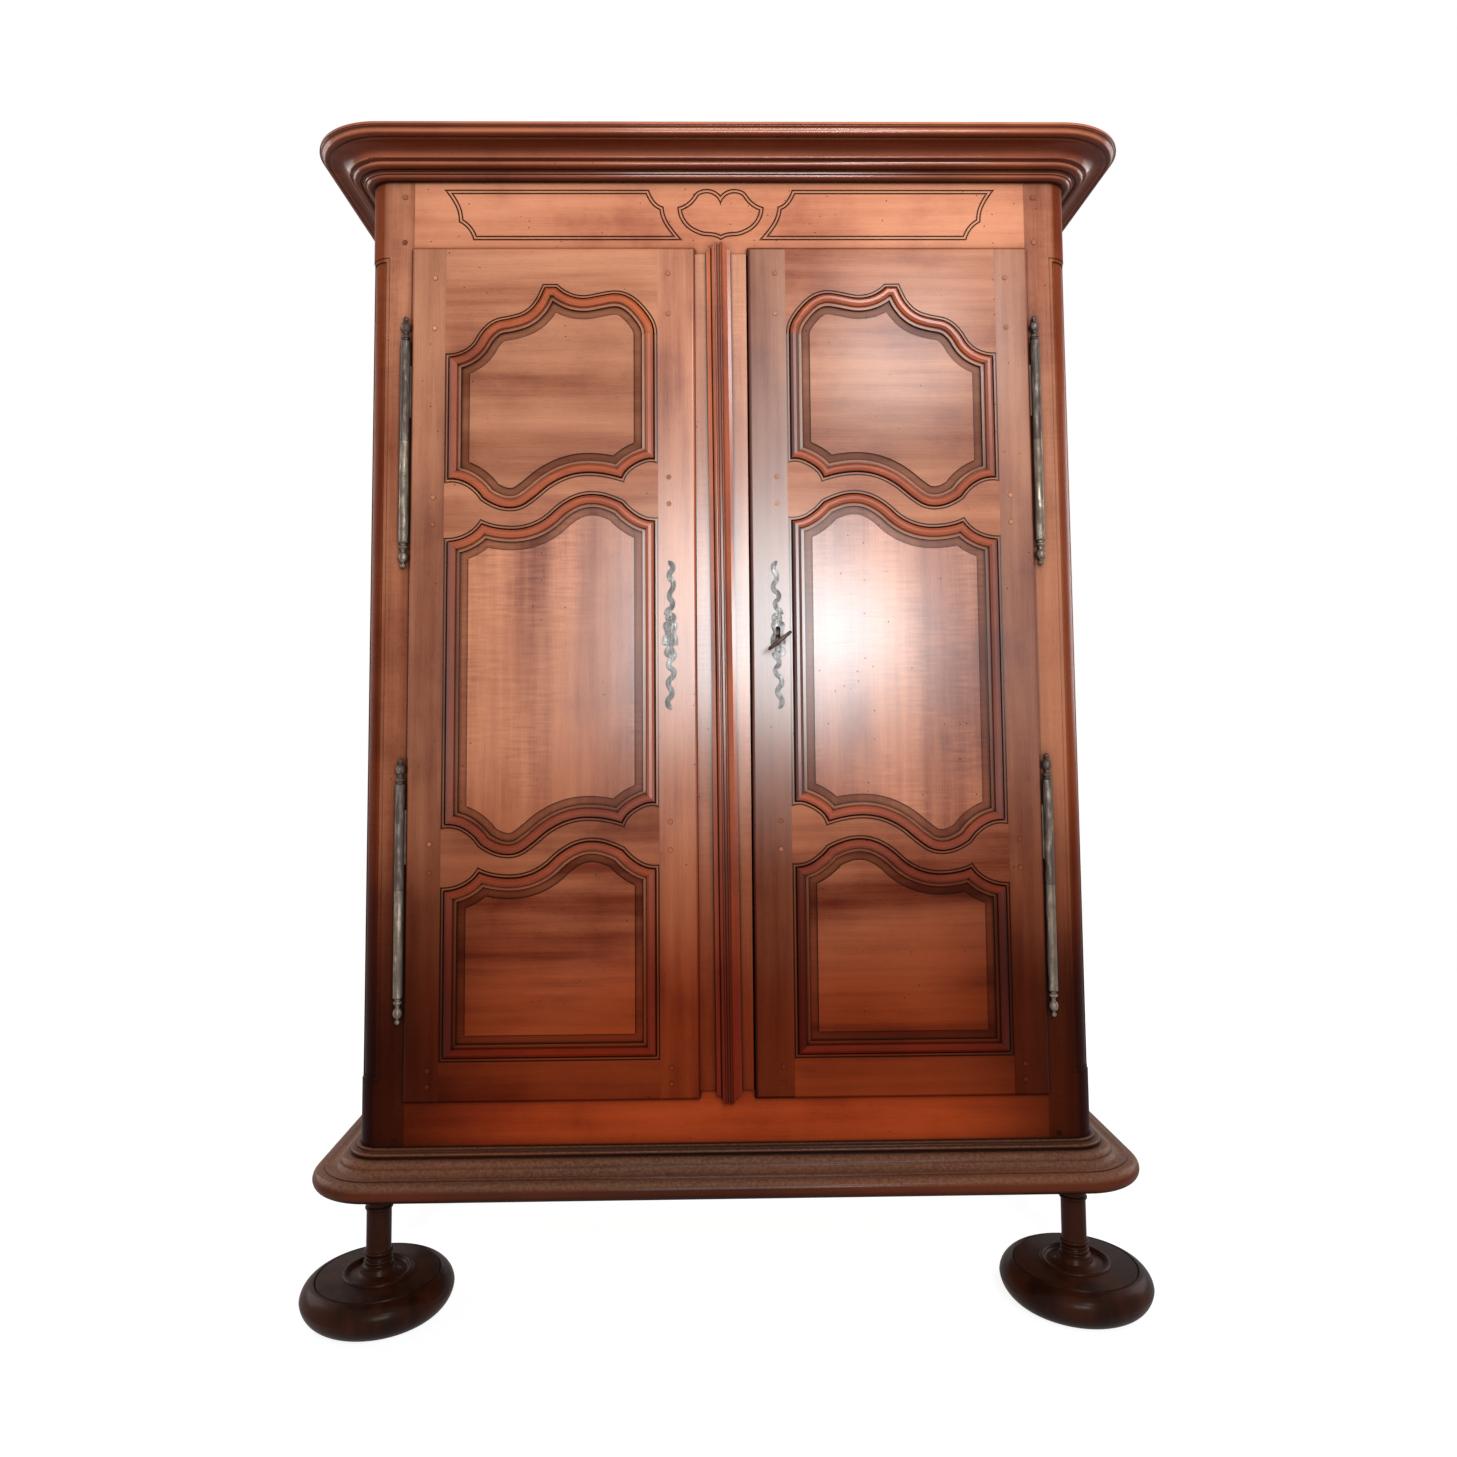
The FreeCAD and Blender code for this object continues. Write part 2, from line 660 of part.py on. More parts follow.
ARCH_SHARES = (
    (0, 0, -4), (0.141, 0.074, 63), (0.268, 0.177, 8), (0.398, 0.230, 47),
    (0.456, 0.336, 68, 0), (0.528, 0.336, 0, -48), (0.638, 0.282, -4),
    (0.720, 0.293, 12), (0.810, 0.304, -4), (0.922, 0.246, -46), (1, 0.092, -90),
)
CREST_SHARES = (
    (0, 0, -3), (0.170, 0.089, 62, -28), (0.320, 0.056, 0), (0.497, 0.130, 45),
    (0.689, 0.219, 0), (0.843, 0.174, -28, -52), (1, 0.094, 8),
)
BASIN_SHARES = (
    (0, 0.002, 14), (0.168, -0.078, -58, -38), (0.309, -0.132, 0), (0.465, -0.049, 42),
    (0.671, 0.034, 0), (0.841, 0.002, -20, 80), (0.937, 0.094, 20), (1, 0.092, -23.6),
)
MOULDING_FILLET_SHARES = (0.09, 0.18, 0.25, 0.82)
MOULDING_QUIRK_SHARE = 0.3
ROUND_STEPS = 5

HINGE_CORNER = -(number("door_edge") - number("hinge_stile_face"))
PANEL_WIDTH = number("panel_opening_width")
LOCK_CORNER = HINGE_CORNER + PANEL_WIDTH


def across(shares, level):
    """Outline rows across the panel opening at a level."""
    rows = []
    for share in shares:
        point = (HINGE_CORNER + PANEL_WIDTH * share[0], level + PANEL_WIDTH * share[1])
        rows.append(point + tuple(share[2:]))
    return rows


def panel_loop(top_shares, top_level, bottom_shares, bottom_level):
    """The outer line of a panel's moulding, walked clockwise from the hinge corner."""
    top = chain(across(top_shares, top_level))
    bottom = reverse(chain(across(bottom_shares, bottom_level)))
    return closed(top + bottom)


FLAT_SHARES = ((0, 0, 0), (1, 0, 0))
PANEL_LOOPS = {
    "upper": panel_loop(ARCH_SHARES, number("upper_panel_top"), BASIN_SHARES, number("upper_panel_bottom")),
    "middle": panel_loop(
        CREST_SHARES, number("middle_panel_top"), BASIN_SHARES, number("middle_panel_bottom")
    ),
    "lower": panel_loop(CREST_SHARES, number("lower_panel_top"), FLAT_SHARES, number("lower_panel_bottom")),
}


def moulding_profile(face, sink, width, rise):
    """The moulding's rows of (distance in from its outer line, depth)."""
    inner, outer, first, last = (width * share for share in MOULDING_FILLET_SHARES)
    quirk = (sink - face) * MOULDING_QUIRK_SHARE
    rows = [(0, face), (0, face + quirk), (inner, face + quirk), (inner, face), (outer, face)]
    rows.append((first, face + quirk))
    middle, half = (first + last) / 2, (last - first) / 2
    for step in range(1, ROUND_STEPS):
        angle = math.pi * step / ROUND_STEPS
        rows.append((middle - half * math.cos(angle), face + quirk - (rise + quirk) * math.sin(angle)))
    rows += [(last, face + quirk), (width, face + quirk)]
    return rows


def band(loop, here, following):
    """The faces between two neighbouring rows of a moulding's profile."""
    first = offset_loop(loop, here[0])
    if here[0] == following[0]:
        depth = Vector(0, following[1] - here[1], 0)
        return [segment.edge(here[1]).extrude(depth) for segment in first]
    last = offset_loop(loop, following[0])
    if here[1] == following[1]:
        return face_of([wire_of(first, here[1]), wire_of(last, here[1])]).Faces
    pairs = zip(first, last, strict=True)
    return [Part.makeRuledSurface(a.edge(here[1]), b.edge(following[1])) for a, b in pairs]


def solid_of(faces):
    """A closed solid sewn from its faces."""
    shape = Part.makeCompound(faces)
    shape.sewShape()
    solid = Part.Solid(Part.Shell(shape.Faces))
    if solid.Volume < 0:
        solid.reverse()
    return solid


def holed(face, wires):
    """A flat face with holes cut into it."""
    return Part.makeFace(Part.makeCompound([face.OuterWire] + wires), "Part::FaceMakerBullseye")


DOOR_FACE = -number("lip_thickness")
DOOR_BACK = number("door_back_thickness")
DOOR_LEFT = -number("door_edge")
DOOR_RIGHT = -number("door_meeting")
DOOR_LOW = number("door_lip_bottom")
DOOR_HIGH = number("door_lip_top")
BODY_LEFT = -(float(OPENING_EDGE) - number("door_clearance"))
BODY_LOW = number("opening_bottom") + number("door_clearance")
BODY_HIGH = number("opening_top") - number("door_clearance")
PANEL_FACE = DOOR_FACE + number("panel_sink")
PANEL_BACK = PANEL_FACE + number("panel_thickness")
MOULDING = number("moulding_width")
GROOVE = number("groove_depth")
PLAY = number("panel_play")


def board(x, y, z):
    """A plain box between pairs of values."""
    return Part.makeBox(x[1] - x[0], y[1] - y[0], z[1] - z[0], Vector(x[0], y[0], z[0]))


def door_blank():
    """The whole door frame in one piece, with its lips, mouldings and panel grooves."""
    lip = board((DOOR_LEFT, DOOR_RIGHT), (DOOR_FACE, 0), (DOOR_LOW, DOOR_HIGH))
    rim = [edge for edge in lip.Edges if edge.BoundBox.YMax < DOOR_FACE / 2]
    lip = lip.makeFillet(number("lip_round"), rim)
    body = board((BODY_LEFT, DOOR_RIGHT), (0, DOOR_BACK), (BODY_LOW, BODY_HIGH))
    plain = lip.fuse(body).removeSplitter()
    profile = moulding_profile(DOOR_FACE, PANEL_FACE, MOULDING, number("moulding_rise"))
    profile += [
        (MOULDING, PANEL_FACE - PLAY),
        (MOULDING - GROOVE, PANEL_FACE - PLAY),
        (MOULDING - GROOVE, PANEL_BACK + PLAY),
        (MOULDING, PANEL_BACK + PLAY),
        (MOULDING, DOOR_BACK),
    ]
    faces = []
    for loop in PANEL_LOOPS.values():
        for here, following in zip(profile, profile[1:]):
            faces += band(loop, here, following)
    for face in plain.Faces:
        bounds = face.BoundBox
        if bounds.YLength < PLAY and bounds.YMin < DOOR_FACE + PLAY:
            wires = [wire_of(loop, DOOR_FACE) for loop in PANEL_LOOPS.values()]
            faces.append(holed(face, wires))
        elif bounds.YLength < PLAY and bounds.YMin > DOOR_BACK - PLAY:
            wires = [wire_of(offset_loop(loop, MOULDING), DOOR_BACK) for loop in PANEL_LOOPS.values()]
            faces.append(holed(face, wires))
        else:
            faces.append(face)
    return solid_of(faces)


def side_line(loop, distance, heading):
    """The straight side of a loop that runs up or down, moved inwards."""
    sides = [s for s in offset_loop(loop, distance) if s.straight and abs(s.heading - heading) < 1]
    return max(sides, key=lambda s: math.dist(s.start, s.end))


def stile_prism(heading, edge, outer):
    """The part of the door that belongs to a stile, with its mitred mouldings."""
    low, high = DOOR_LOW - number("overrun"), DOOR_HIGH + number("overrun")
    profile = moulding_profile(DOOR_FACE, PANEL_FACE, MOULDING, number("moulding_rise"))
    distances = sorted({row[0] for row in profile}) + [MOULDING + number("overrun")]
    points = [(edge, low)]
    for name in ("lower", "middle", "upper"):
        lines = [side_line(PANEL_LOOPS[name], distance, heading) for distance in distances]
        ends = [sorted((line.start, line.end), key=lambda point: point[1]) for line in lines]
        points += [pair[0] for pair in ends] + [pair[1] for pair in reversed(ends)]
    points += [(edge, high), (outer, high), (outer, low)]
    front = moulding_front() - number("overrun")
    corners = [Vector(point[0], front, point[1]) for point in points]
    outline_face = Part.Face(Part.makePolygon(corners + corners[:1]))
    return outline_face.extrude(Vector(0, DOOR_BACK + number("overrun") - front, 0))


def moulding_front():
    """The depth of the foremost line of the mouldings."""
    return DOOR_FACE - number("moulding_rise")


def rail_ends(name):
    """The heights of a rail's two ends at the hinge stile and at the lock stile."""
    rise = PANEL_WIDTH * CREST_SHARES[-1][1]
    basin = PANEL_WIDTH * BASIN_SHARES[-1][1]
    arch = PANEL_WIDTH * ARCH_SHARES[-1][1]
    ends = {
        "top": (("upper_panel_top", arch), None),
        "upper_middle": (("middle_panel_top", rise), ("upper_panel_bottom", basin)),
        "lower_middle": (("lower_panel_top", rise), ("middle_panel_bottom", basin)),
        "bottom": (None, ("lower_panel_bottom", 0)),
    }[name]
    low, high = ends
    hinge = (number(low[0]) if low else BODY_LOW, number(high[0]) if high else BODY_HIGH)
    lock = (hinge[0] + (low[1] if low else 0), hinge[1] + (high[1] if high else 0))
    return hinge, lock


def door_tenon(edge, side, ends):
    """A rail's tenon, which reaches into a stile."""
    length, thick = number("door_tenon_length"), number("door_tenon_thickness")
    step = number("door_tenon_shoulder")
    middle = (PANEL_FACE + PANEL_BACK) / 2
    x = (edge, edge + length) if side > 0 else (edge - length, edge)
    return board(x, (middle - thick / 2, middle + thick / 2), (ends[0] + step, ends[1] - step))


def door_pegs_at(edge, side, ends):
    """Two pegs through a tenon."""
    radius, proud = number("door_peg_radius"), number("peg_proud")
    x = edge + side * number("door_tenon_length") / 2
    middle, reach = (ends[0] + ends[1]) / 2, (ends[1] - ends[0]) / 4
    start = DOOR_FACE - proud
    pegs = []
    for z in (middle - reach, middle + reach):
        pegs.append(Part.makeCylinder(radius, DOOR_BACK - start, Vector(x, start, z), Vector(0, 1, 0)))
    return pegs


RAILS = ("bottom", "lower_middle", "upper_middle", "top")


def door_frame():
    """The stiles, rails and pegs of the left door."""
    blank = door_blank()
    past = number("overrun")
    hinge_prism = stile_prism(90, HINGE_CORNER, DOOR_LEFT - past)
    lock_prism = stile_prism(-90, LOCK_CORNER, DOOR_RIGHT + past)
    hinge_stile = blank.common(hinge_prism)
    lock_stile = blank.common(lock_prism)
    pieces = blank.cut([hinge_prism, lock_prism]).Solids
    rails = dict(zip(RAILS, sorted(pieces, key=lambda piece: piece.CenterOfMass.z), strict=True))
    hinge_tenons, lock_tenons, pegs = [], [], []
    for name in RAILS:
        hinge_end, lock_end = rail_ends(name)
        tenons = [door_tenon(HINGE_CORNER, -1, hinge_end), door_tenon(LOCK_CORNER, 1, lock_end)]
        hinge_tenons.append(tenons[0])
        lock_tenons.append(tenons[1])
        own_pegs = door_pegs_at(HINGE_CORNER, -1, hinge_end) + door_pegs_at(LOCK_CORNER, 1, lock_end)
        rails[name] = rails[name].fuse(tenons).cut(own_pegs)
        pegs += own_pegs
    leaves = [leaf_mortise(level) for level in ("hinge_upper_level", "hinge_lower_level")]
    hinge_stile = hinge_stile.cut(hinge_tenons + pegs + leaves)
    lock_stile = lock_stile.cut(lock_tenons + pegs)
    return hinge_stile, lock_stile, rails, pegs


def leaf_mortise(level):
    """The slot in the left door for the leaf of a hinge."""
    low, high = (float(length) for length in leaf_heights(size(level), 1))
    x, y = ((float(pair[0]), float(pair[1])) for pair in door_leaf(-1))
    shift = float(FRONT)
    return board(x, (y[0] - shift, y[1] - shift), (low, high))


# Hinges turn about an upright axis in front of the corner stile, beside the door's lip

HINGE_AXIS = size("door_edge") + size("hinge_axis_out")
HINGE_DEPTH = FRONT - size("hinge_radius") - size("hinge_face_gap")


def leaf_heights(level, side):
    """The lower and upper end of a leaf on the upper or lower half of a hinge."""
    middle = level + size("hinge_half_length") * (side / 2)
    return middle - size("leaf_length") / 2, middle + size("leaf_length") / 2


def door_leaf(side):
    """The plan of a door leaf: from the barrel's wall into the door's lip."""
    inner = HINGE_AXIS - size("hinge_axis_out") - size("leaf_reach")
    outer = HINGE_AXIS - (size("hinge_pin_radius") + size("hinge_radius")) / 2
    middle = FRONT - size("lip_thickness") / 2
    half = size("leaf_thickness") / 2
    return span(side, inner, outer), (middle - half, middle + half)


def frame_leaf(side):
    """The plan of a frame leaf: from the axis into the corner stile."""
    half = size("leaf_thickness") / 2
    return span(side, HINGE_AXIS - half, HINGE_AXIS + half), (HINGE_DEPTH, FRONT + size("leaf_reach"))


FINIAL_SHARES = (
    (1, 0), (0.58, 0.06), (0.58, 0.12, 0.9), (0.58, 0.25), (0.42, 0.32),
    (0.42, 0.38, 0.55), (0.3, 0.78), (0.3, 0.82),
)


def finial_rows(way):
    """The turned end of a hinge, above the barrel or below it, with a ball at its tip."""
    rows = []
    for share in FINIAL_SHARES:
        height = (size("hinge_half_length") + size("hinge_finial") * share[1]) * way
        bulge = share[2] * way if len(share) > 2 else 0
        rows.append((size("hinge_radius") * share[0], height, bulge))
    tip = (size("hinge_half_length") + size("hinge_finial")) * way
    neck, rise = rows[-1][0], (tip - rows[-1][1]) * way
    rows[-1] = (neck, rows[-1][1], rise / (neck + diagonal(neck, rise)) * way)
    return rows + [(0, tip)]


def hinge_half(name, level, side, way):
    """The lower half with its pin, let into the frame, or the upper half on the door."""
    radius, pin = size("hinge_radius"), size("hinge_pin_radius")
    gap, length = size("hinge_parting_gap"), size("hinge_pin_length")
    if way > 0:
        bore = pin + size("running_clearance")
        deep = length + gap
        rows = [(bore, gap), (radius, gap)] + finial_rows(1) + [(0, deep), (bore, deep)]
        x, y = door_leaf(side)
    else:
        rows = [(radius, 0), (pin, 0), (pin, length), (0, length)]
        rows = finial_rows(-1) + rows[3:] + rows[2:3] + rows[1:2] + rows[:1]
        x, y = frame_leaf(side)
    barrel = turned(f"{name}_barrel", rows, HINGE_AXIS * side, HINGE_DEPTH, size(level))
    low, high = leaf_heights(size(level), way)
    return fuse(name, [barrel, box(f"{name}_leaf", x, y, (low, high))])


def make_hinges():
    """Two lift-off hinges on each side."""
    for label, side in SIDES:
        for kind, way in (("sockets", -1), ("knuckles", 1)):
            halves = []
            for place_name in ("upper", "lower"):
                name = f"{label}_{place_name}_{kind}"
                halves.append(hinge_half(name, f"hinge_{place_name}_level", side, way))
            node(group(f"{label}_hinge_{kind}", halves))


# Doors

def panel(loop):
    """A panel with its raised field, held in the grooves of the door frame."""
    plate = wire_of(offset_loop(loop, MOULDING - GROOVE + PLAY), PANEL_FACE)
    field = wire_of(offset_loop(loop, MOULDING + number("panel_margin")), PANEL_FACE)
    rise = number("panel_field_rise")
    back = slab([plate], PANEL_FACE, PANEL_BACK)
    return back.fuse(slab([field], PANEL_FACE, PANEL_FACE - rise)).removeSplitter()


def seated(name, shape):
    """A piece worked out from the front face of the carcass, set at its place."""
    item = feature(name, shape)
    return place(item, 0, FRONT, 0)


def key_passage():
    """The upright slot through which the key and its bit pass."""
    radius = size("key_shaft_radius") + size("key_hole_play")
    x, z = size("lock_axis"), size("lock_level")
    start = FRONT - size("lip_thickness") - OVERRUN
    deep = size("lip_thickness") + size("door_back_thickness") + OVERRUN * 2
    low = cylinder("keyhole_low", radius, deep, x, start, z, "Y")
    top = z + size("keyhole_height")
    high = cylinder("keyhole_high", radius, deep, x, start, top, "Y")
    slot = box("keyhole_slot", (x - radius, x + radius), (start, start + deep), (z, top))
    return fuse("keyhole_passage", [low, high, slot])


def make_doors(passage):
    """The left door, the right door as its mirror image, and the keyhole."""
    hinge_stile, lock_stile, rails, pegs = door_frame()
    shapes = {"hinge_stile": hinge_stile, "lock_stile": lock_stile}
    shapes.update({f"{name}_rail": rails[name] for name in RAILS})
    shapes.update({f"{name}_panel": panel(loop) for name, loop in PANEL_LOOPS.items()})
    shapes["pegs"] = Part.makeCompound(pegs)
    for name, shape in shapes.items():
        left = node(seated(f"left_door_{name}", shape))
        if name == "lock_stile":
            node(cut("right_door_lock_stile", mirrored("right_door_lock_stile_blank", left), [passage]))
        else:
            node(mirrored(f"right_door_{name}", left))


def make_centre_strip():
    """The cover strip on the left door's edge and the moulded pilaster on it."""
    strip_face = FRONT - size("lip_thickness") + size("strip_recess")
    low = size("opening_bottom") + size("strip_play")
    high = size("opening_top") - size("strip_play")
    x = (-size("door_meeting"), size("strip_edge"))
    node(box("centre_strip", x, (strip_face, FRONT + size("door_back_thickness")), (low, high)))
    middle = (x[0] + x[1]) / 2
    rows = pilaster_rows(middle + size("pilaster_lean") / 2, strip_face)
    shaft = doc.addObject("Part::Extrusion", "pilaster_shaft")
    shaft.Base = outline("pilaster_section", "XY", rows, 0, 0, size("pilaster_bottom"))
    shaft.DirMode = "Custom"
    shaft.Solid = True
    bind(shaft, "Dir.x", -size("pilaster_lean"))
    bind(shaft, "Dir.y", 0)
    bind(shaft, "Dir.z", size("pilaster_top") - size("pilaster_bottom"))
    deep = size("pilaster_rise") + OVERRUN * 2
    front = padded("pilaster_front", "XZ", pilaster_front_rows(middle), deep, 0, strip_face + OVERRUN, 0)
    node(common("centre_pilaster", [shaft, front]))


PILASTER_SHARES = (
    (0, 0), (0, 0.45), (0.16, 0.5), (0.2, 0.3, -0.5), (0.34, 0.66), (0.36, 0.86, 0.6), (0.42, 0.86),
    (0.46, 0.6), (0.54, 0.6), (0.56, 0.86, 0.6), (0.62, 0.86), (0.64, 1, 0.35), (0.74, 0.66),
    (0.86, 0.5), (1, 0.45), (1, 0),
)
PILASTER_HEAD_SHARES = (
    (-0.1, -0.3), (0.1, 0.3, 0.3), (0.22, 0.42), (0.3, 0.9, 0.8), (0.46, 0.9), (0.5, 0.72),
    (0.54, 0.9, 0.8), (0.7, 0.9), (0.8, 0.4, 0.3), (1.05, -0.1),
)


def pilaster_rows(centre, strip_face):
    """The pilaster's section, from its left edge to its right edge."""
    left, width = centre - size("pilaster_width") / 2, size("pilaster_width")
    rows = []
    for share in PILASTER_SHARES:
        bulge = -share[2] if len(share) > 2 else 0
        rows.append((left + width * share[0], strip_face - size("pilaster_rise") * share[1], bulge))
    return rows


def pilaster_front_rows(middle):
    """The pilaster's front view, with its lobed head and pointed foot."""
    rows = []
    ends = (
        (middle - size("pilaster_lean") / 2, size("pilaster_top") - size("pilaster_cap"), 1),
        (middle + size("pilaster_lean") / 2, size("pilaster_bottom") + size("pilaster_cap"), -1),
    )
    width, cap = size("pilaster_width"), size("pilaster_cap")
    for centre, base, way in ends:
        for share in PILASTER_HEAD_SHARES:
            bulge = -share[2] if len(share) > 2 else 0
            rows.append((centre + width * ((share[0] - 0.5) * way), base + cap * (share[1] * way), bulge))
    return rows


# Carcass

def make_front_stiles():
    """The rounded corner stiles with their sunk flutes and the seats of the rails."""
    width, depth, radius = size("stile_width"), size("stile_depth"), size("corner_radius")
    deep = size("flute_depth")
    for label, side in SIDES:
        quarter = math.tan(math.pi / 8) * side
        rows = [
            (OPENING_EDGE * side, 0),
            ((HALF_BODY - radius) * side, 0, quarter),
            (HALF_BODY * side, radius),
            (HALF_BODY * side, depth),
            (OPENING_EDGE * side, depth),
        ]
        blank = padded(f"{label}_stile_blank", "XY", rows, TOP - BOTTOM, 0, FRONT, BOTTOM)
        cutters = [flute_cutter(label, side, "border", size("flute_border"), size("flute_border_height"))]
        cutters.append(flute_cutter(label, side, "flute", 0, deep))
        seat = span(side, OPENING_EDGE - OVERRUN, SHOULDER)
        rail_depth = (FRONT - OVERRUN, FRONT + size("rail_thickness"))
        cutters.append(box(f"{label}_top_seat", seat, rail_depth, (size("opening_top"), TOP + OVERRUN)))
        cutters.append(box(f"{label}_low_seat", seat, rail_depth, (BOTTOM - OVERRUN, size("opening_bottom"))))
        for name, low, high in front_rails():
            cutters.append(front_tenon(f"{label}_{name}_mortise", side, low, high))
        for level in ("hinge_upper_level", "hinge_lower_level"):
            x, y = frame_leaf(side)
            cutters.append(box(f"{label}_{level}_mortise", x, y, leaf_heights(size(level), -1)))
        for name, low, high in side_rails():
            cutters.append(side_tenon(f"{label}_front_{name}_mortise", side, low, high, "front"))
        cutters.append(side_groove(f"{label}_front_groove", side, "front"))
        cutters += pegs_at(f"{label}_stile_peg_hole", side)
        node(cut(f"front_{label}_stile", blank, cutters))


def flute_cutter(label, side, name, border, deep):
    """What is taken off a front corner for the flute or for the bead round it."""
    radius = size("corner_radius")
    reach = radius - size("flute_inset") + border
    centre = HALF_BODY - radius
    low, high = size("flute_bottom") - border, size("flute_top") + border
    x = span(side, HALF_BODY - reach, HALF_BODY + OVERRUN)
    corner = box(f"{label}_{name}_corner", x, (FRONT - OVERRUN, FRONT + reach), (low, high))
    core = cylinder(f"{label}_{name}_core", radius - deep, high - low, centre * side, FRONT + radius, low)
    return cut(f"{label}_{name}_cutter", corner, [core])


def front_rails():
    """The names and heights of the two front rails."""
    return (("frieze", size("opening_top"), TOP), ("bottom", BOTTOM, size("opening_bottom")))


def front_tenon(name, side, low, high):
    """A tenon of a front rail inside a corner stile."""
    step, thick = size("tenon_shoulder"), size("tenon_thickness")
    y = behind(size("rail_thickness") / 2 - thick / 2, size("rail_thickness") / 2 + thick / 2)
    return box(name, span(side, SHOULDER, SHOULDER + size("tenon_length")), y, (low + step, high - step))


PEG_SHARES = {"frieze": (0.17, 0.79), "bottom": (0.1,)}


def pegs_at(name, side):
    """The pegs of one side of the front."""
    pegs = []
    x = (SHOULDER + size("peg_inset")) * side
    start = FRONT - size("peg_proud")
    length = size("rail_thickness") + size("peg_proud")
    spans = {
        "frieze": (size("opening_top"), size("cornice_bottom")),
        "bottom": (BOTTOM + size("base_height"), size("opening_bottom")),
    }
    for rail, (low, high) in spans.items():
        for index, share in enumerate(PEG_SHARES[rail]):
            z = low + (high - low) * share
            label = f"{name}_{rail}_{index}"
            pegs.append(cylinder(label, size("peg_radius"), length, x, start, z, "Y"))
    return pegs


def side_rails():
    """The names and heights of the rails of a side."""
    middle = size("side_middle_rail_level")
    return (
        ("top", TOP - size("side_top_rail_height"), TOP),
        ("middle", middle, middle + size("side_middle_rail_height")),
        ("bottom", BOTTOM, BOTTOM + size("side_bottom_rail_height")),
    )


SIDE_FRONT = FRONT + size("stile_depth")
SIDE_BACK = BACK - size("rear_stile_depth")
SIDE_INNER = HALF_BODY - size("side_rail_thickness")


def side_tenon(name, side, low, high, end):
    """A tenon of a side rail, in the front or the rear stile."""
    step, thick, length = size("tenon_shoulder"), size("tenon_thickness"), size("side_tenon_length")
    middle = (HALF_BODY + SIDE_INNER) / 2
    x = span(side, middle - thick / 2, middle + thick / 2)
    y = (SIDE_FRONT - length, SIDE_FRONT) if end == "front" else (SIDE_BACK, SIDE_BACK + length)
    return box(name, x, y, (low + step, high - step))


def panel_plane(side, play=0):
    """The two faces of a side panel's flat."""
    middle = (HALF_BODY + SIDE_INNER) / 2
    half = size("side_panel_thickness") / 2 + play
    return span(side, middle - half, middle + half)


def side_groove(name, side, end):
    """The groove that holds the side panels in a stile."""
    deep = size("groove_depth")
    if end == "front":
        y = (SIDE_FRONT - deep, SIDE_FRONT + OVERRUN)
    else:
        y = (SIDE_BACK - OVERRUN, SIDE_BACK + deep)
    low = BOTTOM + size("side_bottom_rail_height") - deep
    return box(name, panel_plane(side), y, (low, TOP - size("side_top_rail_height") + deep))


def make_front_rails():
    """The frieze with its carving and the bottom rail."""
    for name, low, high in front_rails():
        x = (-SHOULDER, SHOULDER)
        bar = box(f"{name}_bar", x, behind(as_size(0), size("rail_thickness")), (low, high))
        tenons = [front_tenon(f"{label}_{name}_tenon", side, low, high) for label, side in SIDES]
        whole = fuse(f"{name}_rail_blank", [bar] + tenons)
        cutters = [bolt_socket(name, low, high)]
        for label, side in SIDES:
            cutters += pegs_at(f"{label}_{name}_peg_hole", side)
        if name == "frieze":
            cutters.append(seated("frieze_carving", carving()))
        node(cut(f"{name}_rail", whole, cutters))


def bolt_socket(name, low, high):
    """The hole in a front rail that a door bolt slides into."""
    play = size("bolt_play")
    half, start = size("bolt_width") / 2 + play, size("door_back_thickness") - play
    x = (-size("bolt_axis") - half, -size("bolt_axis") + half)
    y = behind(start, size("door_back_thickness") + size("bolt_thickness") + play)
    deep = size("bolt_throw") + play
    z = (low - OVERRUN, low + deep) if name == "frieze" else (high - deep, high + OVERRUN)
    return box(f"{name}_bolt_socket", x, y, z)


FRIEZE_PANEL_SHARES = (
    (-0.789, 0.9, 0), (-0.205, 0.9, 0, -72), (-0.163, 0.665, -15, -87), (-0.109, 0.2, -48, 180),
    (-0.705, 0.2, 180, 103), (-0.747, 0.45, 155, 88), (-0.789, 0.9, 130),
)
CARTOUCHE_SHARES = (
    (0, 0.825, 50), (0.039, 0.912, 0), (0.077, 0.825, -60), (0.124, 0.66, -12, -90),
    (0.08, 0.315, -152), (0.04, 0.256, 180), (0, 0.2, -140, 140), (-0.04, 0.256, 180),
    (-0.08, 0.315, 152), (-0.124, 0.66, 90, 12), (-0.077, 0.825, 60), (-0.039, 0.912, 0), (0, 0.825, -50),
)
CARVING_LINE_SHARES = ((0, 0.3), (0.7, 1))


def carved_loop(shares):
    """A carved outline on the visible part of the frieze."""
    low = number("opening_top")
    high = number("cornice_bottom")
    rows = [(float(HALF_BODY) * row[0], low + (high - low) * row[1]) + tuple(row[2:]) for row in shares]
    return chain(rows)


def carving():
    """The grooves on both sides of the carved beads of the frieze."""
    rings = []
    width, deep = number("carving_width"), number("carving_depth")
    start = -number("overrun")
    left_panel = carved_loop(FRIEZE_PANEL_SHARES)
    for loop in (left_panel, carved_loop(CARTOUCHE_SHARES)):
        for outer, inner in CARVING_LINE_SHARES:
            wires = [wire_of(offset_loop(loop, width * share), start) for share in (outer, inner)]
            rings.append(slab(wires, start, deep))
    rings += [ring.mirror(Vector(0, 0, 0), Vector(1, 0, 0)) for ring in rings[:len(CARVING_LINE_SHARES)]]
    return Part.makeCompound(rings)


# Sides, back and inner boards

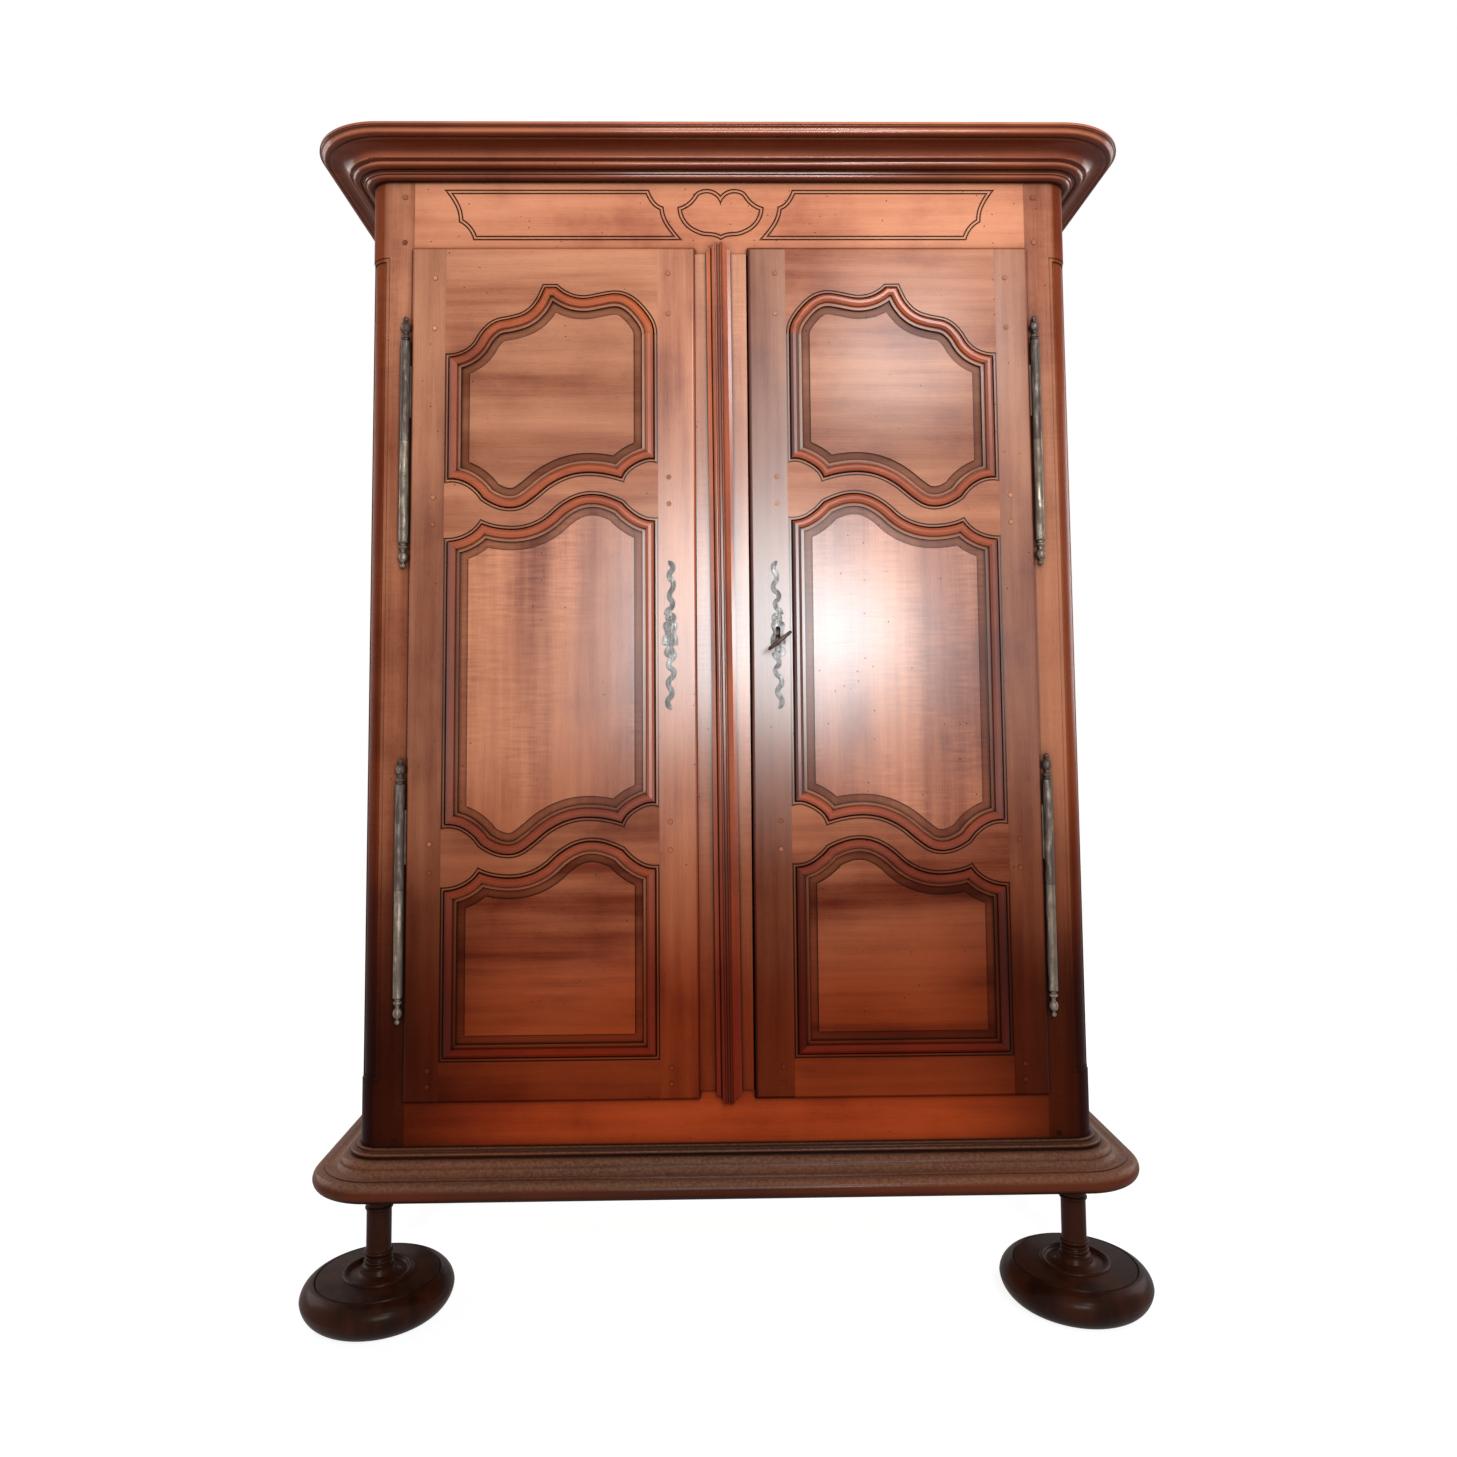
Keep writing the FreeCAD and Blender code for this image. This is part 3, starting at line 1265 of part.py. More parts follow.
def make_sides():
    """The rails and panels of the two sides and the rear posts."""
    deep, play = size("groove_depth"), size("board_clearance")
    for label, side in SIDES:
        x = span(side, SIDE_INNER, HALF_BODY)
        rails = []
        for name, low, high in side_rails():
            bar = box(f"{label}_{name}_bar", x, (SIDE_FRONT, SIDE_BACK), (low, high))
            tenons = [
                side_tenon(f"{label}_{name}_{end}_tenon", side, low, high, end)
                for end in ("front", "rear")
            ]
            blank = fuse(f"{label}_{name}_side_blank", [bar] + tenons)
            grooves = []
            y = (SIDE_FRONT, SIDE_BACK)
            if name != "top":
                z = (high - deep, high + OVERRUN)
                grooves.append(box(f"{label}_{name}_upper_groove", panel_plane(side), y, z))
            if name != "bottom":
                z = (low - OVERRUN, low + deep)
                grooves.append(box(f"{label}_{name}_lower_groove", panel_plane(side), y, z))
            rails.append(cut(f"{label}_{name}_side_rail", blank, grooves))
        node(group(f"{label}_side_rails", rails))
        panels = []
        heights = {name: (low, high) for name, low, high in side_rails()}
        spans = (
            ("lower", heights["bottom"][1], heights["middle"][0]),
            ("upper", heights["middle"][1], heights["top"][0]),
        )
        for name, low, high in spans:
            y = (SIDE_FRONT - deep + play, SIDE_BACK + deep - play)
            flat = box(f"{label}_{name}_flat", panel_plane(side), y, (low - deep + play, high + deep - play))
            edge, rise = size("side_field_margin"), size("side_field_rise")
            outer = panel_plane(side)[1 if side > 0 else 0]
            field_x = (outer, outer + rise) if side > 0 else (outer - rise, outer)
            field_y = (SIDE_FRONT + edge, SIDE_BACK - edge)
            field = box(f"{label}_{name}_field", field_x, field_y, (low + edge, high - edge))
            panels.append(fuse(f"{label}_{name}_side_panel", [flat, field]))
        node(group(f"{label}_side_panels", panels))
        make_rear_stile(label, side)


def make_rear_stile(label, side):
    """A rear post, which runs down to the floor as a plain square foot."""
    deep = size("groove_depth")
    inner = HALF_BODY - size("rear_stile_width")
    blank = box(f"{label}_rear_blank", span(side, inner, HALF_BODY), (SIDE_BACK, BACK), (as_size(0), TOP))
    cutters = [
        side_tenon(f"{label}_rear_{name}_mortise", side, low, high, "rear")
        for name, low, high in side_rails()
    ]
    cutters.append(side_groove(f"{label}_rear_groove", side, "rear"))
    across = span(side, inner - OVERRUN, inner + deep)
    cutters.append(box(f"{label}_board_groove", across, back_plane(), back_heights()))
    for name, low, high in back_rails():
        cutters.append(back_tenon(f"{label}_back_{name}_mortise", side, low, high))
    node(cut(f"rear_{label}_stile", blank, cutters))


def back_rails():
    """The names and heights of the rails of the back."""
    height, middle = size("back_rail_height"), size("side_middle_rail_level")
    return (
        ("top", TOP - height, TOP),
        ("middle", middle, middle + height),
        ("bottom", BOTTOM, BOTTOM + height),
    )


def back_tenon(name, side, low, high):
    """A tenon of a back rail in a rear post."""
    step, thick = size("tenon_shoulder"), size("tenon_thickness")
    inner = HALF_BODY - size("rear_stile_width")
    middle = BACK - size("back_rail_thickness") / 2
    x = span(side, inner, inner + size("side_tenon_length"))
    return box(name, x, (middle - thick / 2, middle + thick / 2), (low + step, high - step))


def back_plane():
    """The two faces of the back boards."""
    middle, half = BACK - size("back_rail_thickness") / 2, size("back_board_thickness") / 2
    return middle - half, middle + half


def back_heights():
    """The lowest and highest reach of the grooves of the back boards."""
    rails = {name: (low, high) for name, low, high in back_rails()}
    deep = size("groove_depth")
    return rails["bottom"][1] - deep, rails["top"][0] + deep


BACK_BOARDS = 6


def make_back():
    """Framed back with upright boards in grooves."""
    inner = HALF_BODY - size("rear_stile_width")
    deep, gap, play = size("groove_depth"), size("back_board_gap"), size("board_clearance")
    y = (BACK - size("back_rail_thickness"), BACK)
    rails = []
    for name, low, high in back_rails():
        bar = box(f"back_{name}_bar", (-inner, inner), y, (low, high))
        tenons = [back_tenon(f"{label}_back_{name}_tenon", side, low, high) for label, side in SIDES]
        grooves = []
        if name != "top":
            z = (high - deep, high + OVERRUN)
            grooves.append(box(f"back_{name}_upper_groove", (-inner, inner), back_plane(), z))
        if name != "bottom":
            z = (low - OVERRUN, low + deep)
            grooves.append(box(f"back_{name}_lower_groove", (-inner, inner), back_plane(), z))
        blank = fuse(f"back_{name}_blank", [bar] + tenons)
        rails.append(cut(f"back_{name}_rail", blank, grooves))
    node(group("back_rails", rails))
    boards = []
    left = -inner - deep + play
    step = (inner + deep - play) * 2 / BACK_BOARDS
    heights = {name: (low, high) for name, low, high in back_rails()}
    bays = (
        ("lower", heights["bottom"][1], heights["middle"][0]),
        ("upper", heights["middle"][1], heights["top"][0]),
    )
    for bay, low, high in bays:
        for index in range(BACK_BOARDS):
            x = (left + step * index, left + step * (index + 1) - gap)
            z = (low - deep + play, high + deep - play)
            boards.append(box(f"{bay}_back_board_{index}", x, back_plane(), z))
    node(group("back_boards", boards))


def make_inner_boards():
    """The floor, the ceiling, two shelves and the cleats under them."""
    play, cleat = size("board_clearance"), size("cleat_width")
    rear_face = BACK - size("back_rail_thickness")
    reach = SIDE_INNER - play
    thick = size("floor_thickness")
    floor_top = size("opening_bottom") - size("floor_drop")
    ceiling_top = TOP - size("ceiling_drop")
    plates = (
        ("floor_boards", floor_top - thick, floor_top),
        ("ceiling_boards", ceiling_top - size("ceiling_thickness"), ceiling_top),
    )
    front_corner = OPENING_EDGE - play
    rear_corner = HALF_BODY - size("rear_stile_width") - play
    cleats = []
    for name, low, high in plates:
        y = (FRONT + size("rail_thickness") + play, rear_face - play)
        plate = box(f"{name}_blank", (-reach, reach), y, (low, high))
        corners = []
        z = (low - OVERRUN, high + OVERRUN)
        for label, side in SIDES:
            front_notch = (y[0] - OVERRUN, SIDE_FRONT + play)
            x = span(side, front_corner, reach + OVERRUN)
            corners.append(box(f"{name}_{label}_front_notch", x, front_notch, z))
            rear_notch = (SIDE_BACK - play, y[1] + OVERRUN)
            x = span(side, rear_corner, reach + OVERRUN)
            corners.append(box(f"{name}_{label}_rear_notch", x, rear_notch, z))
            cleat_z = (low - size("cleat_height"), low)
            cleat_x = span(side, SIDE_INNER - cleat, SIDE_INNER)
            cleats.append(box(f"{name}_{label}_cleat", cleat_x, (SIDE_FRONT, SIDE_BACK), cleat_z))
        node(cut(name, plate, corners))
    shelves = []
    for name in ("low", "high"):
        low = size(f"shelf_{name}_level")
        y = (SIDE_FRONT + play, SIDE_BACK - play)
        shelf_reach = HALF_BODY - size("side_rail_thickness") - play
        z = (low, low + size("shelf_thickness"))
        shelves.append(box(f"{name}_shelf", (-shelf_reach, shelf_reach), y, z))
        for label, side in SIDES:
            cleat_x = span(side, SIDE_INNER - cleat, SIDE_INNER)
            cleat_z = (low - size("cleat_height"), low)
            cleats.append(box(f"{name}_{label}_shelf_cleat", cleat_x, (SIDE_FRONT, SIDE_BACK), cleat_z))
    node(group("shelves", shelves))
    node(group("cleats", cleats))


# Cornice, base and feet

CORNICE_SHARES = (
    (0, 0), (0.035, 0, 0.5), (0.16, 0.1), (0.19, 0.115), (0.2, 0.15), (0.235, 0.165), (0.235, 0.205),
    (0.26, 0.215, 0.75), (0.395, 0.33), (0.41, 0.345), (0.425, 0.36, 0.5), (0.475, 0.41, -0.35),
    (0.765, 0.65), (0.8, 0.66), (0.8, 0.7), (0.83, 0.71, 0.6), (0.93, 0.82, -0.25), (0.975, 0.905),
    (0.98, 0.92), (1, 0.93), (1, 1),
)
BASE_SHARES = (
    (0.81, 0, 0.95), (0.81, 0.47), (0.75, 0.48), (0.74, 0.51), (0.71, 0.52, -0.3), (0.45, 0.62, 0.3),
    (0.26, 0.78), (0.2, 0.79), (0.2, 0.82, 0.6), (0.19, 0.905), (0.1, 0.91), (0.09, 0.93), (0.09, 0.985),
    (0.06, 1), (0, 1),
)


def moulding_rows(name, side):
    """A cornice or base section that stands out to one side of the carcass."""
    if name == "cornice":
        reach, height, low = size("cornice_reach"), size("cornice_height"), size("cornice_bottom")
        shares = CORNICE_SHARES
    else:
        reach, height, low = size("base_reach"), size("base_height"), BOTTOM
        shares = ((0, 0),) + BASE_SHARES
    rows = []
    for share in shares:
        bulge = share[2] * side if len(share) > 2 else 0
        rows.append(((HALF_BODY + reach * share[0]) * side, low + height * share[1], bulge))
    if name == "cornice":
        inner = (HALF_BODY - size("cornice_seat")) * side
        rows += [(inner, low + height), (inner, TOP), (HALF_BODY * side, TOP)]
    return rows


def make_mouldings():
    """The cornice and the base: one piece round the front and a return on each side."""
    radius = size("corner_radius")
    start = FRONT + radius
    quarter = math.tan(math.pi / 8)
    path_rows = [
        (-HALF_BODY, start, quarter),
        (-HALF_BODY + radius, FRONT),
        (HALF_BODY - radius, FRONT, quarter),
        (HALF_BODY, start),
    ]
    for name in ("cornice", "base"):
        path = outline(f"{name}_path", "XY", path_rows, closed=False)
        section = outline(f"{name}_section", "XZ", moulding_rows(name, -1), 0, start, 0)
        sweep = doc.addObject("Part::Sweep", f"{name}_front")
        sweep.Sections = [section]
        sweep.Spine = (path, ["Edge1", "Edge2", "Edge3"])
        sweep.Solid = True
        sweep.Frenet = False
        node(sweep)
        for label, side in SIDES:
            length = BACK - start
            node(padded(f"{name}_{label}", "XZ", moulding_rows(name, side), length, 0, BACK, 0))


FOOT_BUN_SHARES = (
    (0, 0), (0.69, 0, 0.4), (1, 0.5, 0.32), (0.82, 0.88), (0.805, 0.85), (0.79, 0.89), (0.47, 0.93, 0.8),
    (0.4, 0.93), (0.37, 0.9, -0.15), (0.24, 0.97),
)
FOOT_NECK_SHARES = (
    (1.3, 1, 0.3), (1.28, 1.03, -0.3), (1.04, 1.09, 0.9), (1.04, 1.17), (1.0, 1.19, 0.8), (1.0, 1.25),
    (1.06, 1.29, 0.9), (1.06, 1.37), (1, 1.44),
)
FOOT_COLLAR_SHARES = ((0.761, 0.8), (0.79, 0.8))


def foot_rows():
    """The turned foot: a dished bun with a rolled rim, a neck and a slim shaft."""
    bun, rim = size("foot_radius"), size("foot_bun_height")
    shaft, neck = size("foot_stem_radius"), size("foot_neck_height")
    rows = [(bun * row[0], rim * row[1], row[2] if len(row) > 2 else 0) for row in FOOT_BUN_SHARES]
    rows += [(shaft * row[0], neck * row[1], row[2] if len(row) > 2 else 0) for row in FOOT_NECK_SHARES]
    rows += [(shaft, BOTTOM * FOOT_COLLAR_SHARES[0][0], FOOT_COLLAR_SHARES[0][1])]
    rows += [(shaft, BOTTOM * FOOT_COLLAR_SHARES[1][0]), (shaft, BOTTOM), (0, BOTTOM)]
    return rows


def make_feet():
    """The two turned front feet under the corner stiles."""
    for label, side in SIDES:
        x = (HALF_BODY - size("foot_inset")) * side
        node(turned(f"{label}_foot", foot_rows(), x, FRONT + size("foot_setback"), 0))


def make_carcass_pegs():
    """The pegs of the front joints."""
    pegs = []
    for label, side in SIDES:
        pegs += pegs_at(f"{label}_carcass_peg", side)
    node(group("carcass_pegs", pegs))


# Iron plates, lock, key and bolts

UPPER_TAIL_SHARES = {
    "right": (
        (0.25, 0.135, 90), (-0.18, 0.203, 90), (0.11, 0.258, 90), (-0.32, 0.319, 90),
        (-0.04, 0.387, 90), (-0.3, 0.45, 90), (-0.02, 0.482, -10),
    ),
    "left": (
        (-0.27, 0.139, 90), (0.2, 0.21, 90), (-0.05, 0.261, 90), (0.25, 0.339, 90),
        (-0.05, 0.403, 90), (0.22, 0.455, 90), (-0.1, 0.485, 190),
    ),
}
LOWER_TAIL_SHARES = {
    "right": (
        (-0.29, -0.123, -90), (0.07, -0.19, -90), (-0.21, -0.242, -90), (0.25, -0.319, -90),
        (-0.07, -0.384, -90), (0.25, -0.45, -90), (0, -0.482, 170),
    ),
    "left": (
        (0.3, -0.126, -90), (-0.12, -0.2, -90), (0.27, -0.255, -90), (-0.16, -0.323, -90),
        (0.12, -0.39, -90), (-0.22, -0.45, -90), (0.05, -0.482, 10),
    ),
}
EYE_SHARES = {
    "right": ((-0.07, 0.11), (0.14, -0.116)),
    "left": ((0.05, 0.116), (-0.04, -0.116)),
}
URN_SHARES = (
    (0, 0.093, 0), (0.5, 0.065, -90), (0.36, 0.008, -90, -62), (0.55, -0.025, -62, -90),
    (0.55, -0.066, -90, 180), (0.22, -0.066, 180, -90), (0.22, -0.1, -90, 180), (-0.22, -0.1, 180, 90),
    (-0.22, -0.066, 90, 180), (-0.55, -0.066, 180, 90), (-0.55, -0.025, 90, 62),
    (-0.36, 0.008, 62, 90), (-0.5, 0.065, 90), (0, 0.093, 0),
)
EYE_RADIUS_SHARE = 0.39
NAIL_RADIUS_SHARE = 0.08
TAIL_WIDTH_SHARE = 0.33


def plate_rows(shares, centre):
    """Outline rows of a plate from shares of its width and height."""
    width, height = number("escutcheon_width"), number("escutcheon_height")
    return [(centre[0] + width * row[0], centre[1] + height * row[1]) + tuple(row[2:]) for row in shares]


def ribbon(rows, width):
    """A band of even width along a wavy line."""
    line = chain(rows)
    right = [segment.shifted(width / 2) for segment in line]
    left = reverse([segment.shifted(-width / 2) for segment in line])
    return closed(right + left)


def escutcheon(label):
    """A long plate with an urn between two eyes and a wavy tail at each end."""
    side = -1 if label == "left" else 1
    centre = (number("lock_axis") * side, number("escutcheon_level"))
    width, thick = number("escutcheon_width"), number("escutcheon_thickness")
    start = DOOR_FACE - thick
    outlines = [chain(plate_rows(URN_SHARES, centre))]
    for tails in (UPPER_TAIL_SHARES, LOWER_TAIL_SHARES):
        outlines.append(ribbon(plate_rows(tails[label], centre), width * TAIL_WIDTH_SHARE))
    parts = [slab([wire_of(line, start)], start, DOOR_FACE) for line in outlines]
    holes = []
    for x, z in plate_rows(EYE_SHARES[label], centre):
        foot = Vector(x, start, z)
        parts.append(Part.makeCylinder(width * EYE_RADIUS_SHARE, thick, foot, Vector(0, 1, 0)))
        holes.append(Part.makeCylinder(width * NAIL_RADIUS_SHARE, thick, foot, Vector(0, 1, 0)))
    return parts[0].fuse(parts[1:]).removeSplitter().cut(holes)


LOCK_LEFT = size("door_meeting") + size("lock_case_inset")
LOCK_FRONT = FRONT + size("door_back_thickness")
BOLT_MIDDLE = LOCK_FRONT + size("lock_case_depth") / 2
BOLT_LOW = size("lock_level") + size("key_bit_length") + size("lock_bolt_lift")


def bolt_space(play):
    """The depths and heights of the lock's bolt, with play round it."""
    half = size("lock_bolt_thickness") / 2 + play
    y = (BOLT_MIDDLE - half, BOLT_MIDDLE + half)
    return y, (BOLT_LOW - play, BOLT_LOW + size("lock_bolt_height") + play)


def make_lock(passage):
    """Plates, case, bolt and keeper of the lock."""
    node(seated("left_escutcheon", escutcheon("left")))
    plate = seated("right_escutcheon_blank", escutcheon("right"))
    node(cut("right_escutcheon", plate, [passage]))
    wall, play = size("lock_wall"), size("lock_bolt_play")
    x = (LOCK_LEFT, LOCK_LEFT + size("lock_case_width"))
    y = (LOCK_FRONT, LOCK_FRONT + size("lock_case_depth"))
    low = size("lock_level") - size("lock_case_drop")
    z = (low, low + size("lock_case_height"))
    case = box("lock_case_blank", x, y, z)
    hollow = box("lock_hollow", *((pair[0] + wall, pair[1] - wall) for pair in (x, y, z)))
    slot_y, slot_z = bolt_space(play)
    slot = box("lock_slot", (x[0] - OVERRUN, x[0] + wall + OVERRUN), slot_y, slot_z)
    node(cut("lock_case", case, [hollow, slot, passage]))
    bolt_y, bolt_z = bolt_space(0)
    tip = LOCK_LEFT - size("lock_bolt_proud")
    node(box("lock_bolt", (tip, tip + size("lock_bolt_length")), bolt_y, bolt_z))
    rim = size("keeper_wall")
    keeper_x = (size("strip_edge") - rim - size("keeper_length"), size("strip_edge") - rim)
    keeper_z = (slot_z[0] - rim, slot_z[1] + rim)
    keeper = box("lock_keeper_blank", keeper_x, (LOCK_FRONT, slot_y[1] + rim), keeper_z)
    channel = box("lock_keeper_channel", (keeper_x[0] - OVERRUN, keeper_x[1] + OVERRUN), slot_y, slot_z)
    node(cut("lock_keeper", keeper, [channel]))


def make_key():
    """The key: an oval bow that stands across the shaft, and a bit inside the lock."""
    radius = number("key_shaft_radius")
    across_bow, along_bow = number("key_bow_length") / 2, number("key_bow_width") / 2
    wire_radius = number("key_bow_thickness") / 2
    bow = Part.Ellipse(Vector(0, 0, 0), across_bow - wire_radius, along_bow - wire_radius)
    spine = Part.Wire([bow.toShape()])
    start = Vector(across_bow - wire_radius, 0, 0)
    ring = Part.Wire([Part.Circle(start, Vector(0, 1, 0), wire_radius).toShape()])
    bow_solid = spine.makePipeShell([ring], True, False)
    bow_middle = -number("lip_thickness") - number("key_reach")
    bow_solid.translate(Vector(0, bow_middle, 0))
    shaft_start = bow_middle + along_bow - wire_radius
    bit_end = number("door_back_thickness") + number("lock_case_depth") / 2 + number("key_bit_width") / 2
    shaft = Part.makeCylinder(radius, bit_end - shaft_start, Vector(0, shaft_start, 0), Vector(0, 1, 0))
    collar_start = shaft_start + wire_radius * 2
    collar_foot = Vector(0, collar_start, 0)
    collar = Part.makeCylinder(radius + wire_radius / 2, wire_radius, collar_foot, Vector(0, 1, 0))
    half = number("key_bit_thickness") / 2
    bit = board((-number("key_bit_length"), 0), (bit_end - number("key_bit_width"), bit_end), (-half, half))
    item = feature("key", bow_solid.fuse([shaft, collar, bit]).removeSplitter())
    turn = FreeCAD.Rotation(Vector(0, 1, 0), -number("key_rest_angle"))
    node(place(item, size("lock_axis"), FRONT, size("lock_level"), turn))


# Bolt knobs by the bolt's half width and thickness, and the staples' levels along a bolt
KNOB_RADIUS_SHARE = 0.8
KNOB_LENGTH_SHARE = 2
STAPLE_LEVEL_SHARES = (0.2, 0.8)


def make_door_bolts():
    """Upright bolts inside the left door and the straps that hold them."""
    half, play = size("bolt_width") / 2, size("bolt_play")
    thick, strap = size("bolt_thickness"), size("staple_thickness")
    middle = -size("bolt_axis")
    back = FRONT + size("door_back_thickness")
    y = (back + play / 2, back + play / 2 + thick)
    upper_end = size("opening_top") - size("bolt_rest_gap")
    lower_end = size("opening_bottom") + size("bolt_rest_gap")
    ends = (
        ("upper_bolt", upper_end - size("bolt_length"), upper_end),
        ("lower_bolt", lower_end, lower_end + size("bolt_length")),
    )
    staples = []
    for name, low, high in ends:
        bar = box(f"{name}_bar", (middle - half, middle + half), y, (low, high))
        knob_radius, knob_length = half * KNOB_RADIUS_SHARE, thick * KNOB_LENGTH_SHARE
        knob = cylinder(
            f"{name}_knob", knob_radius, knob_length, middle, y[1] - thick / 2, (low + high) / 2, "Y"
        )
        node(fuse(name, [bar, knob]))
        for share in STAPLE_LEVEL_SHARES:
            level = low + size("bolt_length") * share
            label = f"{name}_staple_{int(share * 10)}"
            z = (level - size("staple_width") / 2, level + size("staple_width") / 2)
            outer = half + play + strap
            block = box(f"{label}_block", (middle - outer, middle + outer), (back, y[1] + play + strap), z)
            inner = (middle - half - play, middle + half + play)
            channel_y = (back - OVERRUN, y[1] + play)
            channel = box(f"{label}_channel", inner, channel_y, (z[0] - OVERRUN, z[1] + OVERRUN))
            staples.append(cut(label, block, [channel]))
    node(group("bolt_staples", staples))


def check(items):
    """Stops if any object failed or any piece has no sound shape."""
    doc.recompute()
    failed = [item.Name for item in doc.Objects if {"Invalid", "Error"} & set(item.State)]
    for item in items:
        if item.Shape.isNull() or not item.Shape.isValid() or not item.Shape.Solids:
            failed.append(f"shape of {item.Label}")
    if failed:
        raise SystemExit(f"failed: {', '.join(failed)}")


def write(items):
    """Writes each piece to a file of its own name."""
    os.makedirs("parts", exist_ok=True)
    for item in items:
        item.Shape.exportStep(f"parts/{item.Label}.step")
        print(item.Label, len(item.Shape.Solids), round(item.Shape.Volume))


make_front_stiles()
make_front_rails()
make_sides()
make_back()
make_inner_boards()
make_mouldings()
make_feet()
make_carcass_pegs()
keyhole = key_passage()
make_doors(keyhole)
make_centre_strip()
make_hinges()
make_lock(keyhole)
make_key()
make_door_bolts()
check(NODES)
write(NODES)
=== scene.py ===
"""Looks of a tall two-door walnut wardrobe on turned bun feet.

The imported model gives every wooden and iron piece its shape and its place. This script
gives each piece its timber or metal, adds the nails and screws, and sets up a plain studio.
Lengths are metres and colours are linear.
"""

import logging
import math
from dataclasses import dataclass, field
from enum import Enum

import bmesh
import bpy
from mathutils import Matrix, Vector


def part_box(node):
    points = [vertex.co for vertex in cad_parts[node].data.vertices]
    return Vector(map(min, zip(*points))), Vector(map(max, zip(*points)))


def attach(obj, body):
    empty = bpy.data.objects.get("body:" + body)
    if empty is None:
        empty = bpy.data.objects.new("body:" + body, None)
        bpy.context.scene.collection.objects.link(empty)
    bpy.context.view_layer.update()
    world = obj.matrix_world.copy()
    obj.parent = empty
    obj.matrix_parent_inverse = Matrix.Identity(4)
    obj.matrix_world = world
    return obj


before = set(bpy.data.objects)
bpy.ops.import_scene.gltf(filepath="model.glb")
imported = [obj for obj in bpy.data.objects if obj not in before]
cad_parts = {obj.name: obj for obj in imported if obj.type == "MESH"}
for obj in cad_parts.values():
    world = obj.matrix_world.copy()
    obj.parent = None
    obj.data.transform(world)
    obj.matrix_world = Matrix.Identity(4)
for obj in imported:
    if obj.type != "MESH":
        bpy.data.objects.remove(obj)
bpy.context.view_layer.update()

LOG = logging.getLogger("wardrobe")
DOOR_FACE = -0.2545
CARCASS_FACE = -0.2425
PHOTO_SIDE = 1457
SIDES = ("left", "right")
FINE_SAMPLES = 6
WHITE = (1.0, 1.0, 1.0)
EVEN = (1.0, 1.0, 1.0)

Socket = bpy.types.NodeSocket
Colour = tuple[float, float, float]
Triple = tuple[float, float, float]
Limits = tuple[float, float]
Value = float | Triple | Socket


class Grain(Enum):
    """The way the fibres of a board run, as the turn that brings them upright."""

    UP = (0.0, 0.0, 0.0)
    ACROSS = (0.0, math.pi / 2, 0.0)
    DEEP = (math.pi / 2, 0.0, 0.0)


# Wiring of shader nodes


